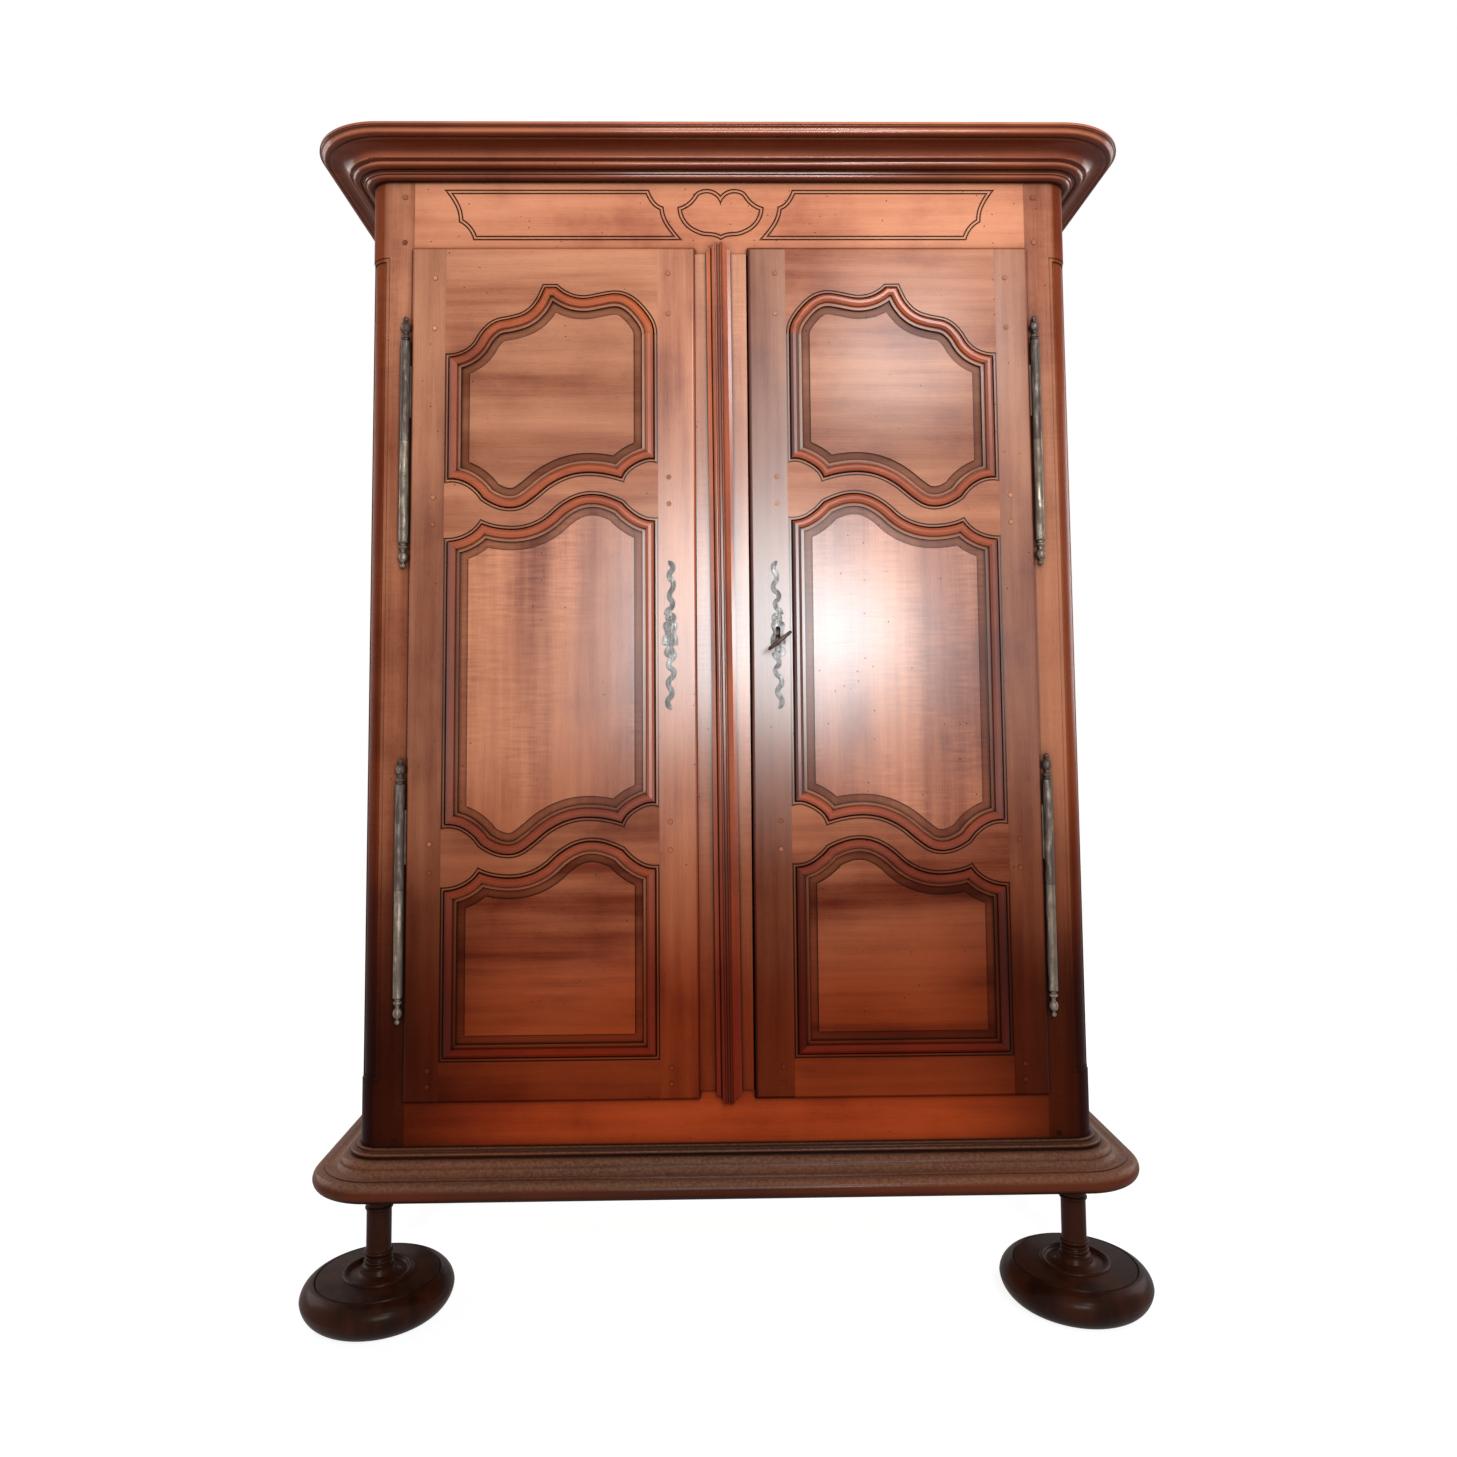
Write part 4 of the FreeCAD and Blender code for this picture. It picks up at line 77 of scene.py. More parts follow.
class Wiring:
    """Adds nodes to one tree and links them.

    The MIX names are the places of a Mix node's colour sockets.
    """

    MIX_FIRST = 6
    MIX_SECOND = 7
    MIX_RESULT = 2

    def __init__(self, tree: bpy.types.NodeTree) -> None:
        """Keeps the tree.

        Args:
            tree: the tree that new nodes go into.
        """
        self.tree = tree

    def add(self, kind: str, **settings: object) -> bpy.types.Node:
        """Makes a node.

        Args:
            kind: the node's type without its leading ShaderNode.
            settings: properties to set on it.

        Returns:
            The new node.
        """
        node = self.tree.nodes.new(f"ShaderNode{kind}")
        for name, setting in settings.items():
            setattr(node, name, setting)
        return node

    def feed(self, socket: Socket, value: Value) -> None:
        """Links a socket to another or sets its value.

        Args:
            socket: the input to fill.
            value: an output socket, a number, a vector or a colour.
        """
        if isinstance(value, bpy.types.NodeSocket):
            self.tree.links.new(value, socket)
        elif isinstance(value, tuple) and socket.type == "RGBA":
            socket.default_value = (*value, 1.0)
        else:
            socket.default_value = value

    def fed(self, kind: str, *values: Value, **settings: object) -> bpy.types.Node:
        """Makes a node and fills its first inputs in order.

        Args:
            kind: the node's type without its leading ShaderNode.
            values: what its inputs get.
            settings: properties to set on it.

        Returns:
            The new node.
        """
        node = self.add(kind, **settings)
        for socket, value in zip(node.inputs, values):
            self.feed(socket, value)
        return node

    def fill(self, node: bpy.types.Node, inputs: dict[str, Value]) -> bpy.types.NodeOutputs:
        """Fills a node's inputs by their names.

        Args:
            node: the node.
            inputs: what each named input gets.

        Returns:
            The node's outputs.
        """
        for name, value in inputs.items():
            self.feed(node.inputs[name], value)
        return node.outputs

    def math(self, operation: str, *terms: Value, clamp: bool = False) -> Socket:
        """A sum, product or other function of numbers.

        Args:
            operation: the name of the Math node's operation.
            terms: one to three numbers or sockets.
            clamp: whether the result stays between 0 and 1.

        Returns:
            The result's socket.
        """
        return self.fed("Math", *terms, operation=operation, use_clamp=clamp).outputs[0]

    def product(self, first: Value, *others: Value) -> Socket:
        """Numbers multiplied in order.

        Args:
            first: the first number.
            others: the numbers that it is multiplied by.

        Returns:
            The product's socket.
        """
        result = first
        for other in others:
            result = self.math("MULTIPLY", result, other)
        return result

    def centred(self, value: Value) -> Socket:
        """A number of 0 to 1 moved to lie around 0.

        Args:
            value: the number.

        Returns:
            The moved number's socket.
        """
        return self.math("SUBTRACT", value, 0.5)

    def vector(self, operation: str, first: Value, second: Value) -> Socket:
        """A sum or product of two vectors, axis by axis.

        Args:
            operation: the name of the Vector Math node's operation.
            first: the first vector.
            second: the second vector.

        Returns:
            The result's socket.
        """
        return self.fed("VectorMath", first, second, operation=operation).outputs[0]

    def parts(self, vector: Value) -> tuple[Socket, ...]:
        """A vector's three parts.

        Args:
            vector: the vector.

        Returns:
            The sockets of X, Y and Z.
        """
        return tuple(self.fed("SeparateXYZ", vector).outputs)

    def spread(self, value: Value, limits: Limits, start: Value = 0.0, end: Value = 1.0) -> Socket:
        """Maps a number's range softly onto another and holds it there.

        Args:
            value: the number.
            limits: where the old range starts and ends.
            start: what the low end becomes.
            end: what the high end becomes.

        Returns:
            The mapped number's socket.
        """
        node = self.fed("MapRange", value, *limits, start, end, interpolation_type="SMOOTHSTEP")
        return node.outputs[0]

    def mix(self, share: Value, first: Value, second: Value, blend: str = "MIX") -> Socket:
        """Two colours mixed.

        Args:
            share: the share of the second.
            first: the colour below.
            second: the colour above.
            blend: the name of the blend.

        Returns:
            The mixed colour's socket.
        """
        node = self.fed("Mix", share, data_type="RGBA", blend_type=blend, clamp_factor=True)
        self.feed(node.inputs[self.MIX_FIRST], first)
        self.feed(node.inputs[self.MIX_SECOND], second)
        return node.outputs[self.MIX_RESULT]

    def dyed(self, colour: Value, dye: Value) -> Socket:
        """A colour multiplied by another.

        Args:
            colour: the colour.
            dye: what it is multiplied by.

        Returns:
            The product's socket.
        """
        return self.mix(1.0, colour, dye, "MULTIPLY")

    def noise(self, vector: Value, scale: float, detail: float = 2.0, rough: float = 0.5) -> Socket:
        """Soft noise of about 0 to 1.

        Args:
            vector: where it is read.
            scale: how many patches a metre holds.
            detail: how many finer layers it has.
            rough: how strong these are.

        Returns:
            The noise's socket.
        """
        inputs = {"Vector": vector, "Scale": scale, "Detail": detail, "Roughness": rough}
        return self.fill(self.add("TexNoise"), inputs)["Fac"]

    def openness(self, reach: float) -> Socket:
        """How open a spot is, for darkening a colour: 0 deep in a corner and 1 outside it.

        Args:
            reach: how far from a corner it tells.

        Returns:
            The openness's socket.
        """
        return self.fill(self.add("AmbientOcclusion", samples=FINE_SAMPLES), {"Distance": reach})["AO"]

    def rounding(self, radius: float, samples: int = 4) -> Socket:
        """A normal that rounds sharp edges.

        Args:
            radius: the radius of the rounding.
            samples: how finely it is worked out.

        Returns:
            The normal's socket.
        """
        return self.fill(self.add("Bevel", samples=samples), {"Radius": radius})["Normal"]

    def bump(self, height: Value, distance: float, strength: float, normal: Socket) -> Socket:
        """A normal tilted by a height.

        Args:
            height: the height, 0 to 1.
            distance: how many metres a height of 1 is.
            strength: how much of it shows.
            normal: the normal to start from.

        Returns:
            The normal's socket.
        """
        inputs = {"Strength": strength, "Distance": distance, "Height": height, "Normal": normal}
        return self.fill(self.add("Bump"), inputs)["Normal"]

    def seen_or_mirrored(self) -> Socket:
        """Whether a ray comes from the eye, from a shiny surface or through glass.

        Returns:
            The socket that is 1 for these rays.
        """
        rays = self.add("LightPath").outputs
        direct = self.math("MAXIMUM", rays["Is Camera Ray"], rays["Is Glossy Ray"])
        return self.math("MAXIMUM", direct, rays["Is Transmission Ray"])

    def place(self, group: "SharedEffect", **inputs: Value) -> bpy.types.NodeOutputs:
        """Puts a shared effect into this tree.

        Args:
            group: the effect.
            inputs: its named inputs.

        Returns:
            The effect's named outputs.
        """
        return self.fill(self.add("Group", node_tree=group.tree), inputs)


# Effects that several finishes share


class SharedEffect:
    """A shader node group with named inputs and outputs."""

    ORIGIN = (0.0, 0.0, 0.0)

    def __init__(self, name: str, inputs: dict[str, Value], outputs: dict[str, str]) -> None:
        """Makes the group and its sockets.

        Args:
            name: the group's name.
            inputs: each input's name and the value it starts from.
            outputs: each output's name and its kind, Float or Color.
        """
        self.tree = bpy.data.node_groups.new(name, "ShaderNodeTree")
        for label, value in inputs.items():
            kind = "NodeSocketFloat" if isinstance(value, float) else "NodeSocketVector"
            socket = self.tree.interface.new_socket(label, in_out="INPUT", socket_type=kind)
            socket.default_value = value
        for label, kind in outputs.items():
            self.tree.interface.new_socket(label, in_out="OUTPUT", socket_type=f"NodeSocket{kind}")
        self.wiring = Wiring(self.tree)
        self.given = self.tree.nodes.new("NodeGroupInput").outputs
        self.result = self.tree.nodes.new("NodeGroupOutput").inputs

    def put(self, name: str, value: Value) -> None:
        """Fills one of the group's outputs.

        Args:
            name: the output's name.
            value: what it gets.
        """
        self.wiring.feed(self.result[name], value)


@dataclass(frozen=True)
class Mark:
    """A kind of mark: how many a metre holds, how they are drawn and how they weigh."""

    density: float
    stretch: Triple
    detail: float
    rough: float
    weight: float = 1.0

    def noise(self, w: Wiring, spot: Socket) -> Socket:
        """The mark's noise.

        Args:
            w: the tree's wiring.
            spot: where it is read.

        Returns:
            The noise's socket.
        """
        place = spot if self.stretch == EVEN else w.vector("MULTIPLY", spot, self.stretch)
        return w.noise(place, self.density, self.detail, self.rough)


@dataclass(frozen=True)
class PlankFigure:
    """The figure of a sawn walnut board whose fibres run along Z."""

    zones: Mark = Mark(7.0, (1.0, 1.0, 0.11), 3.0, 0.55)
    wander: Mark = Mark(4.9, (1.0, 1.0, 0.11), 2.0, 0.4, weight=26.0)
    streaks: Mark = Mark(38.0, (1.0, 1.0, 0.035), 5.0, 0.62, weight=0.8)
    fibres: Mark = Mark(420.0, (1.0, 1.0, 0.022), 2.0, 0.5, weight=0.28)
    ripples: Mark = Mark(180.0, (0.12, 0.12, 1.0), 1.0, 0.45, weight=0.7)
    clouds: Mark = Mark(6.5, (1.0, 1.0, 0.4), 3.0, 0.6, weight=0.6)
    pores: Mark = Mark(1400.0, (1.0, 1.0, 0.05), 1.0, 0.5, weight=-0.16)
    zone_limits: Limits = (0.36, 0.62)
    curl_limits: Limits = (0.4, 0.58)
    pore_limits: Limits = (0.60, 0.70)
    least_streak: float = 0.15
    ring_turn: float = 210.0
    ring_slant: float = 0.6
    ring_weight: float = 0.07

    def build(self) -> SharedEffect:
        """Makes the group.

        Returns:
            The group. Its Tone is 0 in dark wood and 1 in light, its Height and Ripple are
            for bump.
        """
        effect = SharedEffect(
            "plank figure",
            {"Position": SharedEffect.ORIGIN, "Seed": SharedEffect.ORIGIN, "Streak": 1.0, "Curl": 0.0},
            {"Tone": "Float", "Height": "Float", "Ripple": "Float"},
        )
        w, given = effect.wiring, effect.given
        spot = w.vector("ADD", given["Position"], given["Seed"])
        fibres = self.fibres.noise(w, spot)
        clouds = self.clouds.noise(w, spot)
        curled = w.product(w.spread(clouds, self.curl_limits), given["Curl"])
        ripple = w.product(w.centred(self.ripples.noise(w, spot)), curled)
        zones = w.product(w.centred(w.spread(self.zones.noise(w, spot), self.zone_limits)), given["Streak"])
        streak_size = w.math("MULTIPLY_ADD", given["Streak"], self.streaks.weight, self.least_streak)
        streaks = w.product(w.centred(self.streaks.noise(w, spot)), streak_size)
        first, second, _ = w.parts(w.vector("MULTIPLY", spot, self.wander.stretch))
        sideways = w.math("MULTIPLY_ADD", second, self.ring_slant, first)
        wander = w.product(self.wander.noise(w, spot), self.wander.weight)
        phase = w.math("MULTIPLY_ADD", sideways, self.ring_turn, wander)
        waves = w.math("MULTIPLY_ADD", w.math("SINE", phase), 0.5, 0.5)
        rings = w.product(w.centred(waves), self.ring_weight)
        blotches = w.product(w.centred(clouds), self.clouds.weight)
        wide = w.math("ADD", w.math("ADD", zones, streaks), w.math("ADD", rings, blotches))
        fine = w.product(w.centred(fibres), self.fibres.weight)
        pores = w.spread(self.pores.noise(w, spot), self.pore_limits, 0.0, self.pores.weight)
        detail = w.math("ADD", w.math("MULTIPLY_ADD", ripple, self.ripples.weight, fine), pores)
        effect.put("Tone", w.math("ADD", w.math("ADD", wide, detail), 0.5, clamp=True))
        effect.put("Height", fibres)
        effect.put("Ripple", ripple)
        return effect


@dataclass(frozen=True)
class AgedColourWithPaintedShade:
    """The colour of old waxed walnut by its height on the wardrobe and by its figure.

    The wood is dark near the floor and light near the top, partly from its own age and partly as
    painted shade and light where the lamps' light falls off towards the floor. The darkening
    towards the outer corners down below is painted shade. The wood is cooler in some patches.
    Most wax is left at the height of the lock.
    """

    low: Colour = (0.185, 0.024, 0.005)
    middle: Colour = (0.38, 0.125, 0.060)
    high: Colour = (0.58, 0.222, 0.120)
    plum: Colour = (0.66, 0.55, 0.58)
    lower_rise: Limits = (0.5, 1.24)
    upper_rise: Limits = (1.24, 2.15)
    drift_density: float = 2.3
    drift: float = 0.4
    outer_limits: Limits = (0.38, 0.76)
    outer_levels: Limits = (0.55, 1.1)
    outer_shade: float = 0.84
    swing: Triple = (1.0, 1.4, 1.55)
    darkest: float = 0.02
    patch_shift: Triple = (3.1, 0.0, 7.7)
    patches: Mark = Mark(4.6, EVEN, 4.0, 0.6)
    patch_limits: Limits = (0.44, 0.66)
    patch_in_light: float = -0.9
    wax_rise: Limits = (0.8, 1.3)
    wax_fall: Limits = (1.6, 2.3)
    wax_at_top: float = 0.45
    wax_middle: float = 0.32
    wax_reach: Limits = (0.4, 1.05)
    wax_aside: float = 0.2
    rub_rise: Limits = (0.6, 1.3)
    rub_below: float = 0.12

    def build(self) -> SharedEffect:
        """Makes the group.

        Returns:
            The group, which takes a Tone and a Shade. It gives a Colour, a Polish, which is
            the share of wax that is left, and a Rub, the share that hands have rubbed.
        """
        effect = SharedEffect(
            "aged colour with painted shade",
            {"Position": SharedEffect.ORIGIN, "Tone": 0.5, "Shade": 1.0, "Contrast": 1.0},
            {"Colour": "Color", "Polish": "Float", "Rub": "Float"},
        )
        w, given = effect.wiring, effect.given
        side, _, height = w.parts(given["Position"])
        drift = w.noise(given["Position"], self.drift_density)
        level = w.math("MULTIPLY_ADD", w.centred(drift), self.drift, height)
        # Painted shade: darker towards the outer corners down below, where the light falls off.
        outward = w.spread(w.math("ABSOLUTE", side), self.outer_limits)
        corner_falloff_shade = w.product(outward, w.spread(level, self.outer_levels, 1.0, 0.0))
        shade = w.product(w.math("MULTIPLY_ADD", corner_falloff_shade, -self.outer_shade, 1.0), given["Shade"])
        effect.put("Colour", self.figured(w, given, level, shade))
        falling = w.spread(level, self.wax_fall, 1.0, self.wax_at_top)
        waxed = w.product(w.spread(level, self.wax_rise), falling)
        aside = w.math("ABSOLUTE", w.math("SUBTRACT", side, self.wax_middle))
        effect.put("Polish", w.product(waxed, w.spread(aside, self.wax_reach, 1.0, self.wax_aside)))
        effect.put("Rub", w.spread(level, self.rub_rise, self.rub_below))
        return effect

    def figured(self, w: Wiring, given: bpy.types.NodeOutputs, level: Socket, shade: Socket) -> Socket:
        """The colour at a level, with the board's figure and its plum patches.

        Args:
            w: the group's wiring.
            given: the group's inputs.
            level: the height, moved by a slow drift.
            shade: how light the board is.

        Returns:
            The colour's socket.
        """
        # Darker towards the floor and lighter towards the top: partly the wood's age, partly painted shade
        # and light.
        lower = w.mix(w.spread(level, self.lower_rise), self.low, self.middle)
        colour = w.mix(w.spread(level, self.upper_rise), lower, self.high)
        swing = w.product(w.centred(given["Tone"]), given["Contrast"])
        factors = w.add("CombineColor")
        for socket, strength in zip(factors.inputs, self.swing):
            share = w.product(w.math("MULTIPLY_ADD", swing, strength, 1.0), shade)
            w.feed(socket, w.math("MAXIMUM", share, self.darkest))
        figured = w.dyed(colour, factors.outputs[0])
        patches = self.patches.noise(w, w.vector("ADD", given["Position"], self.patch_shift))
        dark_share = w.math("MULTIPLY_ADD", given["Tone"], self.patch_in_light, 1.0)
        plum_share = w.product(w.spread(patches, self.patch_limits), dark_share)
        return w.mix(plum_share, figured, w.dyed(figured, self.plum))


@dataclass(frozen=True)
class Relief:
    """Tells rounds and slopes from flats, and the sunk margins of panels from their fields.

    The depths are measured back from the flat face. The other limits are parts of a normal.
    """

    flat_limits: Limits = (0.93, 0.999)
    proud_depths: Limits = (-0.0028, -0.0009)
    inner_depths: Limits = (0.02, 0.03)
    sunk_start: Limits = (0.0055, 0.0075)
    sunk_end: Limits = (0.010, 0.014)
    under_limits: Limits = (-0.85, -0.1)
    over_limits: Limits = (0.2, 0.8)

    def build(self) -> SharedEffect:
        """Makes the group.

        Returns:
            The group, whose Face is the level of the flat front. Round is 1 on a slope and on
            what stands out of the face, and Sunk is 1 on a flat that lies behind it. Under is
            1 where the wood looks down and Over is 1 where it looks up.
        """
        effect = SharedEffect(
            "relief",
            {"Position": SharedEffect.ORIGIN, "Normal": SharedEffect.ORIGIN, "Face": 0.0},
            {"Round": "Float", "Sunk": "Float", "Under": "Float", "Over": "Float"},
        )
        w, given = effect.wiring, effect.given
        _, place, _ = w.parts(given["Position"])
        _, forward, upward = w.parts(given["Normal"])
        depth = w.math("SUBTRACT", place, given["Face"])
        slope = w.spread(w.math("ABSOLUTE", forward), self.flat_limits, 1.0, 0.0)
        rounded = w.math("MAXIMUM", slope, w.spread(depth, self.proud_depths, 1.0, 0.0))
        effect.put("Round", w.product(rounded, w.spread(depth, self.inner_depths, 1.0, 0.0)))
        margin = w.product(w.spread(depth, self.sunk_start), w.spread(depth, self.sunk_end, 1.0, 0.0))
        effect.put("Sunk", w.product(margin, w.math("SUBTRACT", 1.0, slope)))
        effect.put("Under", w.spread(upward, self.under_limits, 1.0, 0.0))
        effect.put("Over", w.spread(upward, self.over_limits))
        return effect


@dataclass(frozen=True)
class WormHoles:
    """Small round flight holes, scattered and in loose groups."""

    density: float = 62.0
    dot_limits: Limits = (0.06, 0.10)
    patch_density: float = 5.0
    patch_limits: Limits = (0.35, 0.7)

    def build(self) -> SharedEffect:
        """Makes the group.

        Returns:
            The group, whose Mask is 1 in a hole.
        """
        effect = SharedEffect(
            "worm holes", {"Position": SharedEffect.ORIGIN, "Amount": 0.3}, {"Mask": "Float"}
        )
        w, given = effect.wiring, effect.given
        inputs = {"Vector": given["Position"], "Scale": self.density}
        cells = w.fill(w.add("TexVoronoi", feature="F1"), inputs)
        dot = w.spread(cells["Distance"], self.dot_limits, 1.0, 0.0)
        chance = w.fed("SeparateColor", cells["Color"]).outputs[0]
        patch = w.spread(w.noise(given["Position"], self.patch_density), self.patch_limits)
        taken = w.math("LESS_THAN", chance, w.product(given["Amount"], patch))
        effect.put("Mask", w.product(dot, taken))
        return effect


@dataclass(frozen=True)
class ForgedSkin:
    """Hammered, rusted iron."""

    patches: Mark = Mark(34.0, EVEN, 5.0, 0.65)
    specks: Mark = Mark(420.0, EVEN, 3.0, 0.6)
    strokes: Mark = Mark(150.0, (1.0, 1.0, 0.14), 3.0, 0.55)
    speck_rust: float = 0.35
    speck_height: float = 0.6
    rust_limits: Limits = (0.55, 0.82)
    wear_limits: Limits = (0.45, 0.7)

    def build(self) -> SharedEffect:
        """Makes the group.

        Returns:
            The group, with a Rust mask, a Wear mask and a Height.
        """
        effect = SharedEffect(
            "forged skin",
            {"Position": SharedEffect.ORIGIN, "Grain": 1.0},
            {"Rust": "Float", "Wear": "Float", "Height": "Float"},
        )
        w, given = effect.wiring, effect.given
        patches, specks, strokes = (
            mark.noise(w, given["Position"]) for mark in (self.patches, self.specks, self.strokes)
        )
        rust = w.math("MULTIPLY_ADD", specks, self.speck_rust, patches)
        hammered = w.math("MULTIPLY_ADD", specks, self.speck_height, strokes)
        effect.put("Rust", w.spread(rust, self.rust_limits))
        effect.put("Wear", w.spread(strokes, self.wear_limits))
        effect.put("Height", w.product(hammered, given["Grain"]))
        return effect


class Effects:
    """The shared effects, each built once."""

    def __init__(self) -> None:
        """Builds every group."""
        self.figure = PlankFigure().build()
        self.age = AgedColourWithPaintedShade().build()
        self.relief = Relief().build()
        self.holes = WormHoles().build()
        self.skin = ForgedSkin().build()


# Finishes


def surface(name: str) -> tuple[bpy.types.Material, Wiring, bpy.types.Node]:
    """An empty material with its principled shader.

    Args:
        name: the material's name.

    Returns:
        The material, its wiring and its shader node.
    """
    material = bpy.data.materials.new(name)
    material.use_nodes = True
    wiring = Wiring(material.node_tree)
    return material, wiring, material.node_tree.nodes["Principled BSDF"]


@dataclass(frozen=True)
class Weathering:
    """What age has done to all of the timber alike.

    The under tone is painted shade on wood that looks down. Each row of dirt and painted
    shade says how far it spreads from a corner, at which openness it is full and ends, and
    its greatest share.
    """

    seed_steps: Triple = (1.37, 0.71, 2.93)
    sunk_tone: Colour = (0.60, 0.52, 0.47)
    underside_shade_tone: Colour = (0.13, 0.055, 0.03)
    tint_limits: Limits = (0.2, 0.85)
    tint_swing: Limits = (0.55, 1.5)
    dust_colour: Colour = (0.30, 0.15, 0.09)
    dust_specks: Mark = Mark(160.0, EVEN, 4.0, 0.7, weight=0.35)
    dust_limits: Limits = (0.3, 0.7)
    hole_colour: Colour = (0.012, 0.006, 0.004)
    hole_share: float = 0.9
    hole_depth: float = 0.0012
    dirt_and_shade_colour: Colour = (0.010, 0.004, 0.002)
    dirt_and_shade_cover: float = 0.9
    dirt_and_shade_rows: tuple[tuple[float, Limits, float], ...] = (
        (0.045, (0.42, 0.96), 0.85),
        (0.008, (0.40, 0.94), 1.05),
        (0.003, (0.55, 0.98), 0.9),
    )
    specular: float = 0.03
    sunk_wax: float = -0.6
    smudges: Mark = Mark(9.0, EVEN, 4.0, 0.6, weight=0.2)
    swell: Mark = Mark(16.0, (1.0, 1.0, 0.3), 2.0, 0.5)
    swell_height: float = 0.0012
    ripple_height: float = 0.9
    fibre_height: float = 0.00005
    bump_strength: float = 0.8


@dataclass(frozen=True)
class Board:
    """What the shared effects say about each point of one timber."""

    spot: Socket
    turned: Socket
    figure: bpy.types.NodeOutputs
    age: bpy.types.NodeOutputs
    form: bpy.types.NodeOutputs
    holes: Socket
    rubbed: Socket


@dataclass(frozen=True)
class Timber:
    """A waxed walnut board as one piece of the wardrobe shows it.

    Gloss is the roughness of its wax and gleam the wax's index of refraction. Rubbing is the
    wax that hands have left on its rounds, less than none where they took it off.
    """

    name: str
    grain: Grain
    seed: float
    shade: float = 1.0
    streak: float = 0.55
    curl: float = 0.0
    contrast: float = 1.0
    holes: float = 0.25
    polish: float = 0.5
    grime_and_shade: float = 0.95
    face: float = DOOR_FACE
    rounded: float = 1.0
    gloss: float = 0.2
    gleam: float = 1.42
    rough: float = 0.5
    rubbing: float = 0.8
    round_tone: Colour = (0.50, 0.28, 0.17)
    edge: float = 0.0013
    under: float = 0.0
    dust: float = 0.0
    tint: Colour | None = None
    weathering: Weathering = Weathering()

    def material(self, effects: Effects) -> bpy.types.Material:
        """Builds the board's material.

        Args:
            effects: the shared effects.

        Returns:
            The material.
        """
        material, w, shader = surface(self.name)
        board = self.read(w, effects)
        smudges = w.centred(self.weathering.smudges.noise(w, board.spot))
        inputs = {
            "Base Color": self.colour(w, board),
            "Roughness": w.math("MULTIPLY_ADD", smudges, self.weathering.smudges.weight, self.rough),
            "Specular IOR Level": self.weathering.specular,
            "Coat Weight": self.wax(w, board),
            "Coat Roughness": self.gloss,
            "Coat IOR": self.gleam,
            "Normal": self.normal(w, board),
        }
        w.fill(shader, inputs)
        return material

    def read(self, w: Wiring, effects: Effects) -> Board:
        """Places the shared effects for this board.

        Args:
            w: the material's wiring.
            effects: the shared effects.

        Returns:
            What they say.
        """
        spot = w.add("TexCoord").outputs["Object"]
        mapping = w.add("Mapping", vector_type="POINT")
        turned = w.fill(mapping, {"Vector": spot, "Rotation": self.grain.value})["Vector"]
        seed = tuple(self.seed * step for step in self.weathering.seed_steps)
        figure = w.place(effects.figure, Position=turned, Seed=seed, Streak=self.streak, Curl=self.curl)
        tone = {"Tone": figure["Tone"], "Shade": self.shade, "Contrast": self.contrast}
        normal = w.add("TexCoord").outputs["Normal"]
        form = w.place(effects.relief, Position=spot, Normal=normal, Face=self.face)
        return Board(
            spot=spot,
            turned=turned,
            figure=figure,
            age=w.place(effects.age, Position=spot, **tone),
            form=form,
            holes=w.place(effects.holes, Position=w.vector("ADD", spot, seed), Amount=self.holes)["Mask"],
            rubbed=w.product(form["Round"], self.rounded),
        )

    def colour(self, w: Wiring, board: Board) -> Socket:
        """The wood's colour by its form, with the dust, dirt and worm holes on it.

        Args:
            w: the material's wiring.
            board: what the shared effects say.

        Returns:
            The colour's socket.
        """
        age = self.weathering
        colour = board.age["Colour"]
        if self.tint is not None:
            swing = w.spread(board.figure["Tone"], age.tint_limits, *age.tint_swing)
            colour = w.dyed(self.tint, w.fed("CombineColor", swing, swing, swing).outputs[0])
        colour = w.mix(board.rubbed, colour, w.dyed(colour, self.round_tone))
        colour = w.mix(board.form["Sunk"], colour, w.dyed(colour, age.sunk_tone))
        # Painted shade on wood that looks down, such as the cornice's coves.
        if self.under > 0:
            shaded = w.product(board.form["Under"], self.under)
            colour = w.mix(shaded, colour, w.dyed(colour, age.underside_shade_tone))
        if self.dust > 0:
            noise = age.dust_specks.noise(w, board.spot)
            specks = w.spread(noise, age.dust_limits, age.dust_specks.weight)
            colour = w.mix(w.product(board.form["Over"], specks, self.dust), colour, age.dust_colour)
        # Dirt and painted shade: darker in corners, creases and coves, by how open each spot is.
        for reach, limits, most in age.dirt_and_shade_rows:
            share = w.spread(w.openness(reach), limits, most * self.grime_and_shade, 0.0)
            colour = w.mix(share, colour, w.mix(age.dirt_and_shade_cover, colour, age.dirt_and_shade_colour))
        return w.mix(w.product(board.holes, age.hole_share), colour, age.hole_colour)

    def wax(self, w: Wiring, board: Board) -> Socket:
        """How much wax lies on the wood.

        Args:
            w: the material's wiring.
            board: what the shared effects say.

        Returns:
            The wax's socket.
        """
        left = board.age["Polish"] if self.tint is None else 1.0
        handled = w.product(board.rubbed, self.rubbing)
        shiny = w.math("MULTIPLY_ADD", handled, board.age["Rub"], w.product(left, self.polish), clamp=True)
        beneath = w.math("MULTIPLY_ADD", board.form["Under"], -self.under, 1.0)
        within = w.math("MULTIPLY_ADD", board.form["Sunk"], self.weathering.sunk_wax, 1.0)
        whole = w.math("SUBTRACT", 1.0, board.holes)
        return w.product(w.product(whole, w.product(beneath, within)), shiny)

    def normal(self, w: Wiring, board: Board) -> Socket:
        """The normal of the planed, worn and holed surface.

        Args:
            w: the material's wiring.
            board: what the shared effects say.

        Returns:
            The normal's socket.
        """
        age = self.weathering
        swell = age.swell.noise(w, board.turned)
        waves = w.math("MULTIPLY_ADD", board.figure["Ripple"], age.ripple_height, swell)
        soft = w.bump(waves, age.swell_height, age.bump_strength, w.rounding(self.edge))
        fine = w.bump(board.figure["Height"], age.fibre_height, age.bump_strength, soft)
        whole = w.math("SUBTRACT", 1.0, board.holes)
        return w.bump(whole, age.hole_depth, age.bump_strength, fine)


